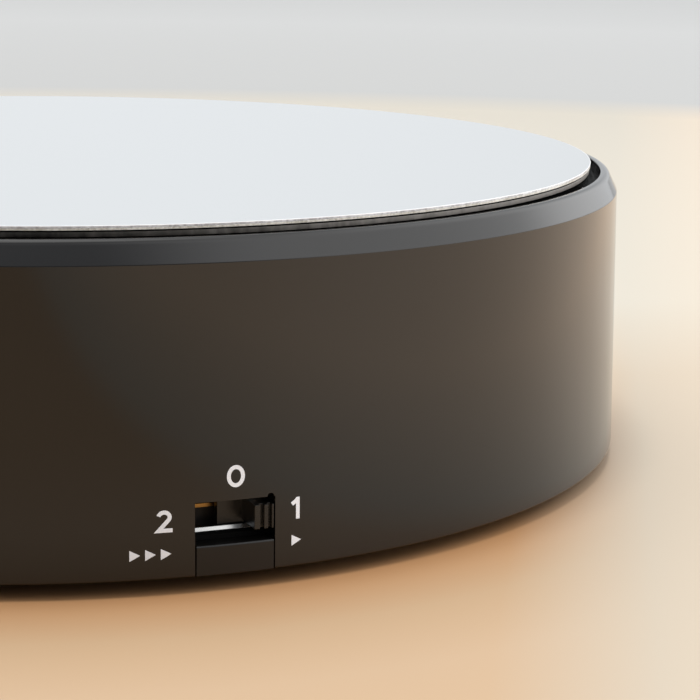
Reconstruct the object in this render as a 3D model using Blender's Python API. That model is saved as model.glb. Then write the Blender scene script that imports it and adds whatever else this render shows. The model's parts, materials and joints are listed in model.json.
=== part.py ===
"""Motorised display turntable, 200 mm across, on four rubber feet.

A skirted casing carries a platter with a mirror disc in a shallow well. Under the deck a small
motor turns the platter through three pairs of spur gears, and three rollers carry its rim. Three
AA cells lie in a bay that opens under the base plate, and a three-position slide switch looks out
through a window at the foot of the skirt.

Sizes are millimetres, and the mesh helpers turn them into metres. Z is up, the origin is the
middle of the footprint on the table, and the switch faces -Y. Heights below are measured from a
datum a little above the table, which the feet reach down past, and every piece is placed from it.
"""

import math

import bmesh
import bpy
from mathutils import Matrix, Vector

MM = 0.001
GAP = 0.3               # clearance kept between pieces that meet
DATUM = Vector((0, 0, 1.1))             # height of the drawing's zero level above the table

# Casing: a skirt with a little draft, a chamfer, and a well for the platter.
SKIRT_RADIUS = 100.0    # outside, at the bottom edge
SKIRT_BOTTOM = 1.2      # bottom edge of the casing
CREASE_RADIUS = 99.12   # where the skirt meets the chamfer
CREASE_HEIGHT = 44.45
RIM_RADIUS = 97.5       # outside of the narrow flat rim, where the chamfer starts
RIM_HEIGHT = 47.7
WELL_RADIUS = 96.2      # inside of the rim
DECK_TOP = 41.5
DECK_BOTTOM = 39.1
WALL = 2.2
ROUND_STEPS = 72        # sides of the large round pieces

# Switch window at the foot of the skirt, and the tab of the base plate that fills its lower part.
WINDOW_HALF_WIDTH = 5.8
WINDOW_TOP = 11.6
TAB_HALF_WIDTH = 5.5
TAB_TOP = 5.5
TAB_INSET = 0.6         # how far the tab reaches inside the edge of the base plate
NICK_RADIUS = 0.5
NICK_X = 5.15

# Base plate with the rib that locates the switch, feet and screws.
BASE_RADIUS = 97.4
BASE_TOP = 3.2
RIB_X = (-9.0, 9.5)
RIB_FRONT = 2.9         # depth behind the front of the skirt
RIB_TOP = 6.2
FOOT_RADIUS = 6.0
FOOT_TOP = 1.9
FOOT_CIRCLE = 86.0
FOOT_ANGLES = (45, 135, 225, 315)
SCREW_CIRCLE = 84.0
CASE_BOSS_RADIUS = 4.0
SCREW_ANGLES = (20, 160, 200, 340)
CUP_RADIUS = 5.4
CUP_TOP = 8.0
CUP_FLOOR = 6.0
CUP_BORE = 1.6
HEAD_WELL_RADIUS = 3.6
HEAD_RADIUS = 2.9
SHANK_RADIUS = 1.2

# Battery bay: three AA cells side by side, lying along Y.
CELL_RADIUS = 7.25
CELL_LENGTH = 50.5
CELL_PITCH = 15.0
CELL_HEIGHT = 10.9      # height of the axis
BAY_HALF_WIDTH = 22.8
BAY_FRONT = 25.5
BAY_BACK = 82.5
BAY_ROOF = 18.5
BAY_WALL = 1.5
DOOR_TOP = 3.0
DOOR_PIVOT_Y = 82.2
DOOR_PIVOT_Z = 1.45
TONGUE_X = 7.5          # middle of each door tongue, left and right, in the hollow between two cells
TONGUE_HALF_WIDTH = 2.3

# Gear train: three pairs of spur gears on vertical axes.
FINE_MODULE = 0.6
COARSE_MODULE = 0.9
PINION_TEETH = 10
WHEEL_TEETH = 40
LAST_PINION_TEETH = 12
OUTPUT_TEETH = 60
FINE_CENTRES = FINE_MODULE * (PINION_TEETH + WHEEL_TEETH) / 2
COARSE_CENTRES = COARSE_MODULE * (LAST_PINION_TEETH + OUTPUT_TEETH) / 2
TRAIN_ANGLE = math.radians(225)         # direction from the second gear to the first, and on
SECOND_AXIS = Vector((-COARSE_CENTRES, 0, 0))
TRAIN_STEP = Vector((math.cos(TRAIN_ANGLE), math.sin(TRAIN_ANGLE), 0)) * FINE_CENTRES
FIRST_AXIS = SECOND_AXIS + TRAIN_STEP
MOTOR_AXIS = FIRST_AXIS + TRAIN_STEP
TOOTH_TIP = 0.12        # half widths at tip and root, as shares of the tooth pitch
TOOTH_ROOT = 0.28
ADDENDUM = 0.8          # tip and root heights from the pitch circle, in modules
DEDENDUM = 1.1
FIRST_WHEEL = (28.6, 30.4)              # heights of each gear, bottom and top
SECOND_WHEEL = (36.7, 38.6)
OUTPUT_GEAR = (31.0, 35.8)
PIN_RADIUS = 1.0

# Gearbox plate and its posts under the deck.
PLATE = (26.0, 28.0)
PLATE_X = (-72.0, 30.0)
PLATE_Y = (-36.0, 26.0)
POSTS = ((24, 20), (24, -20), (-66, 12), (-30, -30))
POST_RADIUS = 3.0

# Motor.
MOTOR_RADIUS = 12.2
MOTOR_CAN = (8.0, 25.7)
MOTOR_CAP = (6.3, 7.7)

# Platter, mirror disc, shaft and bush.
PLATTER_RADIUS = 94.3   # its thin top flange
PLATTER_TOP = 48.2
PLATTER_FLANGE = 0.8
PLATTER_WALL_RADIUS = 93.2
DISC_RADIUS = 94.5
DISC_BOTTOM = 48.5
DISC_TOP = 49.1
TRACK_HEIGHT = 45.0
SHAFT_RADIUS = 3.0
SHAFT_TOP = 45.0
BUSH_RADIUS = 6.0

# Support rollers, on pins that point outwards.
ROLLER_CIRCLE = 80.0
ROLLER_RADIUS = 4.0
ROLLER_HALF_WIDTH = 2.0
ROLLER_HEIGHT = TRACK_HEIGHT - GAP - ROLLER_RADIUS
ROLLER_ANGLES = (90, 210, 330)
ROLLER_PIN_RADIUS = 0.75
ROLLER_PIN_HALF = 4.6

# Slide switch. Depths are measured inwards from the front of the skirt.
FRAME_FACE = 4.6
FRAME_BACK = 9.5
SHEET = 0.6
FRAME_X = (-9.0, 10.0)
FRAME_Z = (4.2, 13.2)
EAR_X = (-12.0, 13.0)   # middles of the two screw holes
EAR_REACH = 3.0
EAR_HALF_HEIGHT = 2.8
EAR_BOSS_HALF_WIDTH = 2.5
EAR_BOSS_Z = (5.5, 12.0)
SLOT_X = (-5.5, 5.9)
SLOT_Z = (6.8, 10.8)
KNOB_X = 4.2            # at rest, at the low-speed end
KNOB_HALF_WIDTH = 1.4
KNOB_Z = (7.1, 10.5)
KNOB_FACE = 0.3
KNOB_TRAVEL = 8.0
KNOB_RIBS = ((-1.4, -0.6), (0.0, 0.6), (1.1, 1.4))      # left and right side of each rib
KNOB_RIB_DEPTH = 0.6
CARRIAGE_HALF_WIDTH = 5.1
COMMON_RAIL_Z = (8.8, 9.3)
SPEED_HEAD_Z = (5.4, 6.0)               # terminals of the two speeds, below the slot
TERMINAL_HEAD = (7.6, 8.0)              # depths of the flat heads of the terminals
TERMINAL_END = 12.5                     # depth of the tips of their pins


# Lays a prism along X: its outline's points are then (y, z), and its heights are x.
ALONG_X = Matrix(((0, 0, 1, 0), (1, 0, 0, 0), (0, 1, 0, 0), (0, 0, 0, 1)))


# ---------------------------------------------------------------- helpers

def clear_scene():
    for item in list(bpy.data.objects):
        bpy.data.objects.remove(item, do_unlink=True)


def material(name, color, roughness, metallic=0.0):
    made = bpy.data.materials.new(name)
    made.use_nodes = True
    shader = made.node_tree.nodes["Principled BSDF"]
    shader.inputs["Base Color"].default_value = (*color, 1.0)
    shader.inputs["Roughness"].default_value = roughness
    shader.inputs["Metallic"].default_value = metallic
    return made


def finish_mesh(name, bm):
    bmesh.ops.recalc_face_normals(bm, faces=bm.faces)
    mesh = bpy.data.meshes.new(name)
    bm.to_mesh(mesh)
    bm.free()
    return mesh


def place(name, bm, look, at=(0, 0, 0), turn=None, smooth=True):
    """Put the mesh in the scene as a named piece; `at` is its origin and `turn` its rotation."""
    mesh = finish_mesh(name, bm)
    if smooth:
        mesh.shade_smooth()
        mesh.set_sharp_from_angle(angle=math.radians(35))
    mesh.materials.append(look)
    piece = bpy.data.objects.new(name, mesh)
    bpy.context.collection.objects.link(piece)
    piece.location = (Vector(at) + DATUM) * MM
    if turn is not None:
        piece.rotation_euler = turn
    return piece


def combine(piece, bm, operation, at=(0, 0, 0)):
    """Add the closed bodies in `bm` to the piece, or cut them from it. Bodies that overlap each
    other go in separate calls."""
    helper_name = f"{piece.name}_{operation.lower()}_{len(piece.modifiers) + 1}"
    helper = bpy.data.objects.new(helper_name, finish_mesh(helper_name, bm))
    bpy.context.collection.objects.link(helper)
    helper.location = (Vector(at) + DATUM) * MM
    helper.hide_render = True
    helper.display_type = "WIRE"
    boolean = piece.modifiers.new(helper_name, "BOOLEAN")
    boolean.operation = operation
    boolean.solver = "EXACT"
    boolean.object = helper


def polar(radius, degrees, height=0.0):
    angle = math.radians(degrees)
    return Vector((radius * math.cos(angle), radius * math.sin(angle), height))


def span(middle, half):
    return (middle - half, middle + half)


def circle(radius, sides, center=(0, 0), start=0.0):
    """Points of a circle, counter-clockwise."""
    step = 2 * math.pi / sides
    return [(center[0] + radius * math.cos(start + i * step),
             center[1] + radius * math.sin(start + i * step)) for i in range(sides)]


def rectangle(xs, ys):
    return [(xs[0], ys[0]), (xs[1], ys[0]), (xs[1], ys[1]), (xs[0], ys[1])]


def rounded_rectangle(xs, ys, radius, steps=4):
    points = []
    corners = ((xs[1], ys[1], 0), (xs[0], ys[1], 90), (xs[0], ys[0], 180), (xs[1], ys[0], 270))
    for x, y, start in corners:
        middle_x = x - math.copysign(radius, x - sum(xs) / 2)
        middle_y = y - math.copysign(radius, y - sum(ys) / 2)
        for i in range(steps + 1):
            angle = math.radians(start + 90 * i / steps)
            points.append((middle_x + radius * math.cos(angle), middle_y + radius * math.sin(angle)))
    return points


def add_prism(bm, outline, heights, holes=(), turn=None):
    """Extrude an outline, with holes if any, between two heights; `turn` then rotates it."""
    edges = []
    for loop in (outline, *holes):
        verts = [bm.verts.new((x * MM, y * MM, heights[0] * MM)) for x, y in loop]
        edges += [bm.edges.new(pair) for pair in zip(verts, verts[1:] + verts[:1])]
    if holes:
        filled = bmesh.ops.triangle_fill(bm, edges=edges, use_beauty=True, normal=(0, 0, -1))
        faces = [item for item in filled["geom"] if isinstance(item, bmesh.types.BMFace)]
    else:
        faces = [bm.faces.new(verts)]
    raised = bmesh.ops.extrude_face_region(bm, geom=faces, use_keep_orig=True)
    lifted = [item for item in raised["geom"] if isinstance(item, bmesh.types.BMVert)]
    bmesh.ops.translate(bm, verts=lifted, vec=(0, 0, (heights[1] - heights[0]) * MM))
    if turn is not None:
        own = {vert for edge in edges for vert in edge.verts} | set(lifted)
        bmesh.ops.transform(bm, matrix=turn, verts=list(own))


def add_box(bm, xs, ys, zs):
    add_prism(bm, rectangle(xs, ys), zs)


def add_rod(bm, radius, heights, center=(0, 0), sides=16, turn=None):
    add_prism(bm, circle(radius, sides, center), heights, turn=turn)


def add_turned(bm, profile, steps):
    """Turn (radius, height) points about Z. A profile that starts and ends on the axis stays open
    there; any other is closed into a ring."""
    verts = [bm.verts.new((radius * MM, 0, height * MM)) for radius, height in profile]
    pairs = list(zip(verts, verts[1:]))
    if profile[0][0] > 0:
        pairs.append((verts[-1], verts[0]))
    edges = [bm.edges.new(pair) for pair in pairs]
    bmesh.ops.spin(bm, geom=verts + edges, axis=(0, 0, 1), cent=(0, 0, 0), steps=steps,
                   angle=2 * math.pi, use_merge=True)
    bmesh.ops.remove_doubles(bm, verts=bm.verts, dist=0.00001)


def turned(profile, steps):
    bm = bmesh.new()
    add_turned(bm, profile, steps)
    return bm


def add_turned_at(bm, center, profile, steps):
    """Add a turned solid whose axis stands at a point of the plan."""
    extra = bmesh.new()
    add_turned(extra, profile, steps)
    bmesh.ops.translate(extra, verts=extra.verts, vec=(center[0] * MM, center[1] * MM, 0))
    spare = bpy.data.meshes.new("spare")
    bmesh.ops.recalc_face_normals(extra, faces=extra.faces)
    extra.to_mesh(spare)
    extra.free()
    bm.from_mesh(spare)
    bpy.data.meshes.remove(spare)


def along_y(x, z):
    """Matrix that lays an upright shape along +Y, from the point (x, 0, z)."""
    return Matrix.Translation(Vector((x, 0, z)) * MM) @ Matrix.Rotation(math.radians(-90), 4, "X")


def depth(value):
    """Y of a point that lies this far behind the front of the skirt."""
    return value - SKIRT_RADIUS


def skirt_radius(height):
    """Outside radius of the drafted skirt at a height."""
    share = (height - SKIRT_BOTTOM) / (CREASE_HEIGHT - SKIRT_BOTTOM)
    return SKIRT_RADIUS + (CREASE_RADIUS - SKIRT_RADIUS) * share


def tube(name, points, radius, look, resolution=2):
    """A wire: a round tube along the points, closed at both ends."""
    curve = bpy.data.curves.new(name, "CURVE")
    curve.dimensions = "3D"
    curve.bevel_depth = radius * MM
    curve.bevel_resolution = resolution
    curve.render_resolution_u = 0
    curve.use_fill_caps = True
    spline = curve.splines.new("POLY")
    spline.points.add(len(points) - 1)
    for point, place_at in zip(spline.points, points):
        point.co = (*(Vector(place_at) * MM), 1.0)
    curve.materials.append(look)
    piece = bpy.data.objects.new(name, curve)
    bpy.context.collection.objects.link(piece)
    piece.location = DATUM * MM
    return piece


def smooth_route(corners, steps=5):
    """Points on a smooth curve through the corners (Catmull-Rom)."""
    route = [Vector(corner) for corner in corners]
    padded = [2 * route[0] - route[1], *route, 2 * route[-1] - route[-2]]
    points = []
    for a, b, c, d in zip(padded, padded[1:], padded[2:], padded[3:]):
        for i in range(steps):
            t = i / steps
            points.append(0.5 * (2 * b + (c - a) * t + (2 * a - 5 * b + 4 * c - d) * t ** 2
                                 + (3 * b - a - 3 * c + d) * t ** 3))
    points.append(route[-1])
    return points


def screw_profile(head_bottom, head_top, tip, head_radius, shank_radius):
    """Half outline of a screw whose head is below or above its shank, seen along Z."""
    low, high = sorted((head_bottom, head_top))
    if tip > high:
        return [(0, tip), (shank_radius * 0.4, tip), (shank_radius, tip - 1.2), (shank_radius, high),
                (head_radius, high), (head_radius, low + 0.5), (head_radius - 0.8, low), (0, low)]
    return [(0, high), (head_radius - 0.8, high), (head_radius, high - 0.5), (head_radius, low),
            (shank_radius, low), (shank_radius, tip + 1.2), (shank_radius * 0.4, tip), (0, tip)]


def cross_recess(bm, center, heights, reach=1.7, width=0.6):
    """Cutter for a cross-shaped driver recess."""
    x, y = center
    half = width / 2
    outline = [(x - reach, y - half), (x - half, y - half), (x - half, y - reach), (x + half, y - reach),
               (x + half, y - half), (x + reach, y - half), (x + reach, y + half), (x + half, y + half),
               (x + half, y + reach), (x - half, y + reach), (x - half, y + half), (x - reach, y + half)]
    add_prism(bm, outline, heights)


# ---------------------------------------------------------------- casing and base

def make_casing(look):
    inner_top = skirt_radius(DECK_BOTTOM) - WALL
    profile = [
        (RIM_RADIUS, RIM_HEIGHT), (CREASE_RADIUS, CREASE_HEIGHT),
        (SKIRT_RADIUS, SKIRT_BOTTOM + 0.3), (SKIRT_RADIUS - 0.3, SKIRT_BOTTOM),
        (SKIRT_RADIUS - WALL, SKIRT_BOTTOM), (inner_top, DECK_BOTTOM),
        (BUSH_RADIUS + GAP, DECK_BOTTOM), (BUSH_RADIUS + GAP, DECK_TOP),
        (WELL_RADIUS, DECK_TOP), (WELL_RADIUS, RIM_HEIGHT - 0.2), (WELL_RADIUS + 0.2, RIM_HEIGHT),
    ]
    casing = place("upper_casing", turned(profile, ROUND_STEPS), look)

    additions = bmesh.new()
    into_deck = DECK_BOTTOM + 0.9
    for angle in SCREW_ANGLES:
        add_rod(additions, CASE_BOSS_RADIUS, (CUP_TOP + GAP, into_deck), polar(SCREW_CIRCLE, angle), 12)
    for post in POSTS:
        add_rod(additions, POST_RADIUS, (PLATE[1] + GAP, into_deck), post, 12)
    for x in EAR_X:
        add_box(additions, span(x, EAR_BOSS_HALF_WIDTH), (depth(1.6), depth(FRAME_FACE - GAP)), EAR_BOSS_Z)
    combine(casing, additions, "UNION")

    cuts = bmesh.new()
    half = WINDOW_HALF_WIDTH
    add_box(cuts, (-half, half), (depth(-1), depth(WALL + 1)), (SKIRT_BOTTOM - 1, WINDOW_TOP))
    for angle in SCREW_ANGLES:
        add_rod(cuts, SHANK_RADIUS + GAP, (CUP_TOP, 20.0), polar(SCREW_CIRCLE, angle), 8)
    for post in POSTS:
        add_rod(cuts, 1.2, (PLATE[1], 36.0), post, 8)
    for x in EAR_X:
        add_rod(cuts, 1.0, (depth(1.9), depth(FRAME_FACE)), sides=8, turn=along_y(x, sum(KNOB_Z) / 2))
    combine(casing, cuts, "DIFFERENCE")

    nick = bmesh.new()
    add_rod(nick, NICK_RADIUS, (depth(-1), depth(WALL + 1)), sides=12, turn=along_y(NICK_X, WINDOW_TOP))
    combine(casing, nick, "DIFFERENCE")

    pockets, grooves = bmesh.new(), bmesh.new()
    pocket_xs = (ROLLER_CIRCLE - ROLLER_HALF_WIDTH - 0.5, ROLLER_CIRCLE + ROLLER_HALF_WIDTH + 0.5)
    pocket_y = ROLLER_RADIUS + 0.7
    groove_xs = (ROLLER_CIRCLE - ROLLER_PIN_HALF - GAP, ROLLER_CIRCLE + ROLLER_PIN_HALF + GAP)
    groove_y = ROLLER_PIN_RADIUS + GAP
    for angle in ROLLER_ANGLES:
        turn = Matrix.Rotation(math.radians(angle), 4, "Z")
        pocket = rectangle(pocket_xs, (-pocket_y, pocket_y))
        groove = rectangle(groove_xs, (-groove_y, groove_y))
        add_prism(pockets, pocket, (DECK_BOTTOM - 1, DECK_TOP + 1), turn=turn)
        add_prism(grooves, groove, (ROLLER_HEIGHT - groove_y, DECK_TOP + 2), turn=turn)
    combine(casing, pockets, "DIFFERENCE")
    combine(casing, grooves, "DIFFERENCE")


def tab_outline():
    """Plan of the tab that fills the foot of the switch window, curved like the skirt."""
    inner = BASE_RADIUS - TAB_INSET
    steps = 6
    front = []
    for i in range(steps + 1):
        x = TAB_HALF_WIDTH * (2 * i / steps - 1)
        front.append((x, -math.sqrt(SKIRT_RADIUS ** 2 - x ** 2)))
    return front + [(TAB_HALF_WIDTH, -inner), (-TAB_HALF_WIDTH, -inner)]


def make_base(look):
    edge = [(0, BASE_TOP), (BASE_RADIUS - 0.2, BASE_TOP), (BASE_RADIUS, BASE_TOP - 0.2),
            (BASE_RADIUS, SKIRT_BOTTOM), (0, SKIRT_BOTTOM)]
    base = place("base_plate", turned(edge, ROUND_STEPS), look)

    additions = bmesh.new()
    box_x = (-BAY_HALF_WIDTH - BAY_WALL, BAY_HALF_WIDTH + BAY_WALL)
    box_y = (BAY_FRONT - BAY_WALL, BAY_BACK + BAY_WALL)
    add_box(additions, box_x, box_y, (BASE_TOP - 0.5, BAY_ROOF + BAY_WALL))
    for angle in SCREW_ANGLES:
        add_rod(additions, CUP_RADIUS, (BASE_TOP - 0.5, CUP_TOP), polar(SCREW_CIRCLE, angle))
    combine(base, additions, "UNION")

    tab = bmesh.new()
    add_prism(tab, tab_outline(), (SKIRT_BOTTOM, TAB_TOP))
    combine(base, tab, "UNION")

    rib = bmesh.new()
    add_box(rib, RIB_X, (depth(RIB_FRONT), depth(FRAME_FACE - GAP)), (BASE_TOP - 0.5, RIB_TOP))
    combine(base, rib, "UNION")

    cuts = bmesh.new()
    below = SKIRT_BOTTOM - 1
    well = [(0, CUP_TOP + 1), (CUP_BORE, CUP_TOP + 1), (CUP_BORE, CUP_FLOOR), (HEAD_WELL_RADIUS, CUP_FLOOR),
            (HEAD_WELL_RADIUS, below), (0, below)]
    add_box(cuts, (-BAY_HALF_WIDTH, BAY_HALF_WIDTH), (BAY_FRONT, BAY_BACK), (below, BAY_ROOF))
    for angle in SCREW_ANGLES:
        center = polar(SCREW_CIRCLE, angle)
        add_turned_at(cuts, center, well, 12)
    for angle in FOOT_ANGLES:
        add_rod(cuts, FOOT_RADIUS + GAP, (below, FOOT_TOP + GAP), polar(FOOT_CIRCLE, angle), 20)
    combine(base, cuts, "DIFFERENCE")

    hollows = bmesh.new()
    for side in (-1, 1):
        xs = span(side * TONGUE_X, TONGUE_HALF_WIDTH + 0.4)
        add_box(hollows, xs, (BAY_BACK - 1, BAY_BACK + 1.1), (BASE_TOP, 5.6))
    add_box(hollows, (-7, 7), (BAY_FRONT - 6, BAY_FRONT + 1), (below, SKIRT_BOTTOM + 1.2))
    combine(base, hollows, "DIFFERENCE")


def make_feet(look):
    sole = -DATUM.z
    edge = 0.5
    profile = [(0, FOOT_TOP), (FOOT_RADIUS, FOOT_TOP), (FOOT_RADIUS, sole + edge),
               (FOOT_RADIUS - edge, sole), (0, sole)]
    for number, angle in enumerate(FOOT_ANGLES, 1):
        place(f"foot_{number}", turned(profile, 20), look, polar(FOOT_CIRCLE, angle))


def make_case_screws(look):
    head_top = CUP_FLOOR - GAP
    head_bottom = head_top - 2.0
    for number, angle in enumerate(SCREW_ANGLES, 1):
        profile = screw_profile(head_bottom, head_top, 17.0, HEAD_RADIUS, SHANK_RADIUS)
        center = polar(SCREW_CIRCLE, angle)
        screw = place(f"case_screw_{number}", turned(profile, 12), look, center)
        recess = bmesh.new()
        cross_recess(recess, (0, 0), (head_bottom - 0.5, head_bottom + 1.1))
        combine(screw, recess, "DIFFERENCE", center)


# ---------------------------------------------------------------- battery bay

def make_cells(look):
    """Three cells whose positive ends alternate: back, front, back."""
    profile = [(0, CELL_LENGTH), (2.6, CELL_LENGTH), (2.6, CELL_LENGTH - 1.0),
               (CELL_RADIUS - 0.5, CELL_LENGTH - 1.0), (CELL_RADIUS, CELL_LENGTH - 1.5),
               (CELL_RADIUS, 0.4), (CELL_RADIUS - 0.4, 0), (0, 0)]
    for number in (1, 2, 3):
        x = CELL_PITCH * (number - 2)
        forward = number == 2
        y = BAY_BACK - 0.9 - CELL_LENGTH if not forward else BAY_FRONT + 0.9 + CELL_LENGTH
        angle = math.radians(90 if forward else -90)
        place(f"cell_{number}", turned(profile, 20), look, (x, y, CELL_HEIGHT), (angle, 0, 0))


def make_contacts(look, spring_look):
    """Flat plates at the ends of the bay, two of which bridge a pair of cells, and the springs."""
    thick = 0.3
    front = (BAY_FRONT + GAP, BAY_FRONT + GAP + thick)
    back = (BAY_BACK - GAP - thick, BAY_BACK - GAP)
    heights = (CELL_HEIGHT - 5.0, CELL_HEIGHT + 5.0)
    spans = {
        "contact_plate_negative": (-20.5, -9.5, front),
        "contact_bridge_front": (-5.5, 20.5, front),
        "contact_bridge_back": (-20.5, 5.5, back),
        "contact_plate_positive": (9.5, 20.5, back),
    }
    for name, (left, right, ys) in spans.items():
        bm = bmesh.new()
        add_box(bm, (left, right), ys, heights)
        place(name, bm, look)

    turns, turn_steps, wire = 2.5, 9, 0.35
    count = int(turns * turn_steps)
    for number in (1, 2, 3):
        x = CELL_PITCH * (number - 2)
        at_back = number == 2
        start = back[0] - GAP - wire if at_back else front[1] + GAP + wire
        length = 4.0
        points = []
        for i in range(count + 1):
            share = i / count
            angle = 2 * math.pi * turns * share
            radius = 4.6 - 1.8 * share
            y = start - length * share if at_back else start + length * share
            points.append((x + radius * math.cos(angle), y, CELL_HEIGHT + radius * math.sin(angle)))
        tube(f"battery_spring_{number}", points, wire, spring_look, resolution=1)


def make_door(look):
    """Door of the battery bay. Two tongues hook over the back edge, and a latch is at the front."""
    at = Vector((0, DOOR_PIVOT_Y, DOOR_PIVOT_Z))
    bm = bmesh.new()
    half = BAY_HALF_WIDTH - 0.35
    ys = (BAY_FRONT + 0.35, DOOR_PIVOT_Y - 0.1)
    outline = rectangle((-half, half), ys)
    slit = [(-9.0, ys[0] + 9.0), (-8.2, ys[0] + 9.0), (-8.2, ys[0] + 1.5), (8.2, ys[0] + 1.5),
            (8.2, ys[0] + 9.0), (9.0, ys[0] + 9.0), (9.0, ys[0] + 0.7), (-9.0, ys[0] + 0.7)]
    add_prism(bm, outline, (SKIRT_BOTTOM, DOOR_TOP), holes=(slit[::-1],))
    bmesh.ops.translate(bm, verts=bm.verts, vec=-at * MM)
    door = place("battery_door", bm, look, at)

    tongues = bmesh.new()
    for side in (-1, 1):
        xs = span(side * TONGUE_X, TONGUE_HALF_WIDTH)
        outline = [(DOOR_PIVOT_Y - 2.2, DOOR_TOP - 0.5), (DOOR_PIVOT_Y - 0.2, DOOR_TOP - 0.5),
                   (DOOR_PIVOT_Y - 0.2, 3.6), (DOOR_PIVOT_Y + 1.0, 3.6), (DOOR_PIVOT_Y + 1.0, 5.0),
                   (DOOR_PIVOT_Y - 2.2, 5.0)]
        add_prism(tongues, outline, xs, turn=ALONG_X)
    combine(door, tongues, "UNION")


# ---------------------------------------------------------------- switch

def make_switch_frame(look):
    bm = bmesh.new()
    channel = [(FRAME_FACE, FRAME_Z[0]), (FRAME_BACK, FRAME_Z[0]), (FRAME_BACK, FRAME_Z[0] + SHEET),
               (FRAME_FACE + SHEET, FRAME_Z[0] + SHEET), (FRAME_FACE + SHEET, FRAME_Z[1] - SHEET),
               (FRAME_BACK, FRAME_Z[1] - SHEET), (FRAME_BACK, FRAME_Z[1]), (FRAME_FACE, FRAME_Z[1])]
    outline = [(depth(inward), height) for inward, height in channel]
    add_prism(bm, outline, FRAME_X, turn=ALONG_X)
    frame = place("switch_frame", bm, look)

    ears = bmesh.new()
    middle = sum(KNOB_Z) / 2
    plate_y = (depth(FRAME_FACE), depth(FRAME_FACE + SHEET))
    add_box(ears, (EAR_X[0] - EAR_REACH, FRAME_X[0] + 1), plate_y, span(middle, EAR_HALF_HEIGHT))
    add_box(ears, (FRAME_X[1] - 1, EAR_X[1] + EAR_REACH), plate_y, span(middle, EAR_HALF_HEIGHT))
    combine(frame, ears, "UNION")

    cuts = bmesh.new()
    through = (depth(FRAME_FACE - 1), depth(FRAME_FACE + SHEET + 1))
    add_box(cuts, SLOT_X, through, SLOT_Z)
    for x in EAR_X:
        add_rod(cuts, 1.1, through, sides=10, turn=along_y(x, middle))
    combine(frame, cuts, "DIFFERENCE")


def make_slider(look, contact_look):
    """Carriage and ribbed knob in one piece; its origin is on the knob's middle line."""
    at = Vector((KNOB_X, depth(FRAME_FACE), sum(KNOB_Z) / 2))
    half_height = (KNOB_Z[1] - KNOB_Z[0]) / 2
    bm = bmesh.new()
    carriage = (FRAME_FACE + SHEET + GAP, FRAME_FACE + SHEET + GAP + 1.2)
    add_box(bm, (-CARRIAGE_HALF_WIDTH, CARRIAGE_HALF_WIDTH),
            (carriage[0] - FRAME_FACE, carriage[1] - FRAME_FACE), (-3.4, 3.4))
    slider = place("switch_slider", bm, look, at, smooth=False)

    face = KNOB_FACE - FRAME_FACE
    root = carriage[0] - FRAME_FACE + 0.5
    outline = [(-KNOB_HALF_WIDTH, root)]
    for left, right in KNOB_RIBS:
        valley = face + KNOB_RIB_DEPTH
        outline += [(left, valley), (left, face), (right, face), (right, valley)]
    outline = [outline[0], *outline[2:-1], (KNOB_HALF_WIDTH, root)]
    knob = bmesh.new()
    add_prism(knob, outline, (-half_height, half_height))
    combine(slider, knob, "UNION", at)

    blade = bmesh.new()
    blade_y = (carriage[1] - FRAME_FACE + GAP, carriage[1] - FRAME_FACE + GAP + 0.3)
    middle = sum(KNOB_Z) / 2
    add_box(blade, (-1.5, 1.5), blade_y, (SPEED_HEAD_Z[0] - middle, COMMON_RAIL_Z[1] - middle))
    place("switch_slider_contact", blade, contact_look, at)


def make_terminals(look, board_look):
    """Brass terminals with a flat head inside the switch and a pin out of its back."""
    front, back = TERMINAL_HEAD
    pins = {
        "switch_terminal_common": ((-7.5, 8.0), 0.5, COMMON_RAIL_Z),
        "switch_terminal_low": (span(KNOB_X, 1.5), 5.0, SPEED_HEAD_Z),
        "switch_terminal_high": (span(KNOB_X - KNOB_TRAVEL, 1.5), -4.7, SPEED_HEAD_Z),
    }
    holes = bmesh.new()
    for name, (xs, pin_x, zs) in pins.items():
        outline = [(xs[0], depth(front)), (xs[1], depth(front)), (xs[1], depth(back)),
                   (pin_x + 0.6, depth(back)), (pin_x + 0.6, depth(TERMINAL_END)),
                   (pin_x - 0.6, depth(TERMINAL_END)), (pin_x - 0.6, depth(back)), (xs[0], depth(back))]
        bm = bmesh.new()
        add_prism(bm, outline, zs)
        place(name, bm, look, smooth=False)
        add_box(holes, (pin_x - 0.9, pin_x + 0.9), (depth(8), depth(10)), (zs[0] - GAP, zs[1] + GAP))
    board = bmesh.new()
    board_z = (FRAME_Z[0] + SHEET + GAP, FRAME_Z[1] - SHEET - GAP)
    add_box(board, (FRAME_X[0] + 0.2, FRAME_X[1] - 0.2), (depth(8.3), depth(9.3)), board_z)
    piece = place("switch_board", board, board_look, smooth=False)
    combine(piece, holes, "DIFFERENCE")


def make_switch_screws(look):
    """Two small screws that hold the ears to the bosses of the skirt, driven from inside."""
    head, seat, tip = 3.2, 2.0, -1.2
    profile = [(0, head), (1.2, head), (1.8, head - 0.4), (1.8, seat), (0.7, seat), (0.7, tip + 0.6),
               (0.3, tip), (0, tip)]
    for number, x in enumerate(EAR_X, 1):
        at = (x, depth(FRAME_FACE + SHEET + GAP - seat), sum(KNOB_Z) / 2)
        place(f"switch_screw_{number}", turned(profile, 10), look, at, (math.radians(-90), 0, 0))


def make_resistor(look):
    """Dropping resistor for the low speed, soldered between the two speed terminals."""
    profile = [(0, 4.0), (0.3, 4.0), (0.3, 2.8), (1.0, 2.6), (1.1, 1.8), (0.9, 1.4), (0.9, -1.4),
               (1.1, -1.8), (1.0, -2.6), (0.3, -2.8), (0.3, -4.0), (0, -4.0)]
    at = (0.15, depth(TERMINAL_END - 0.5), sum(SPEED_HEAD_Z) / 2)
    place("speed_resistor", turned(profile, 10), look, at, (0, math.radians(90), 0))


# ---------------------------------------------------------------- gearbox and motor

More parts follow.
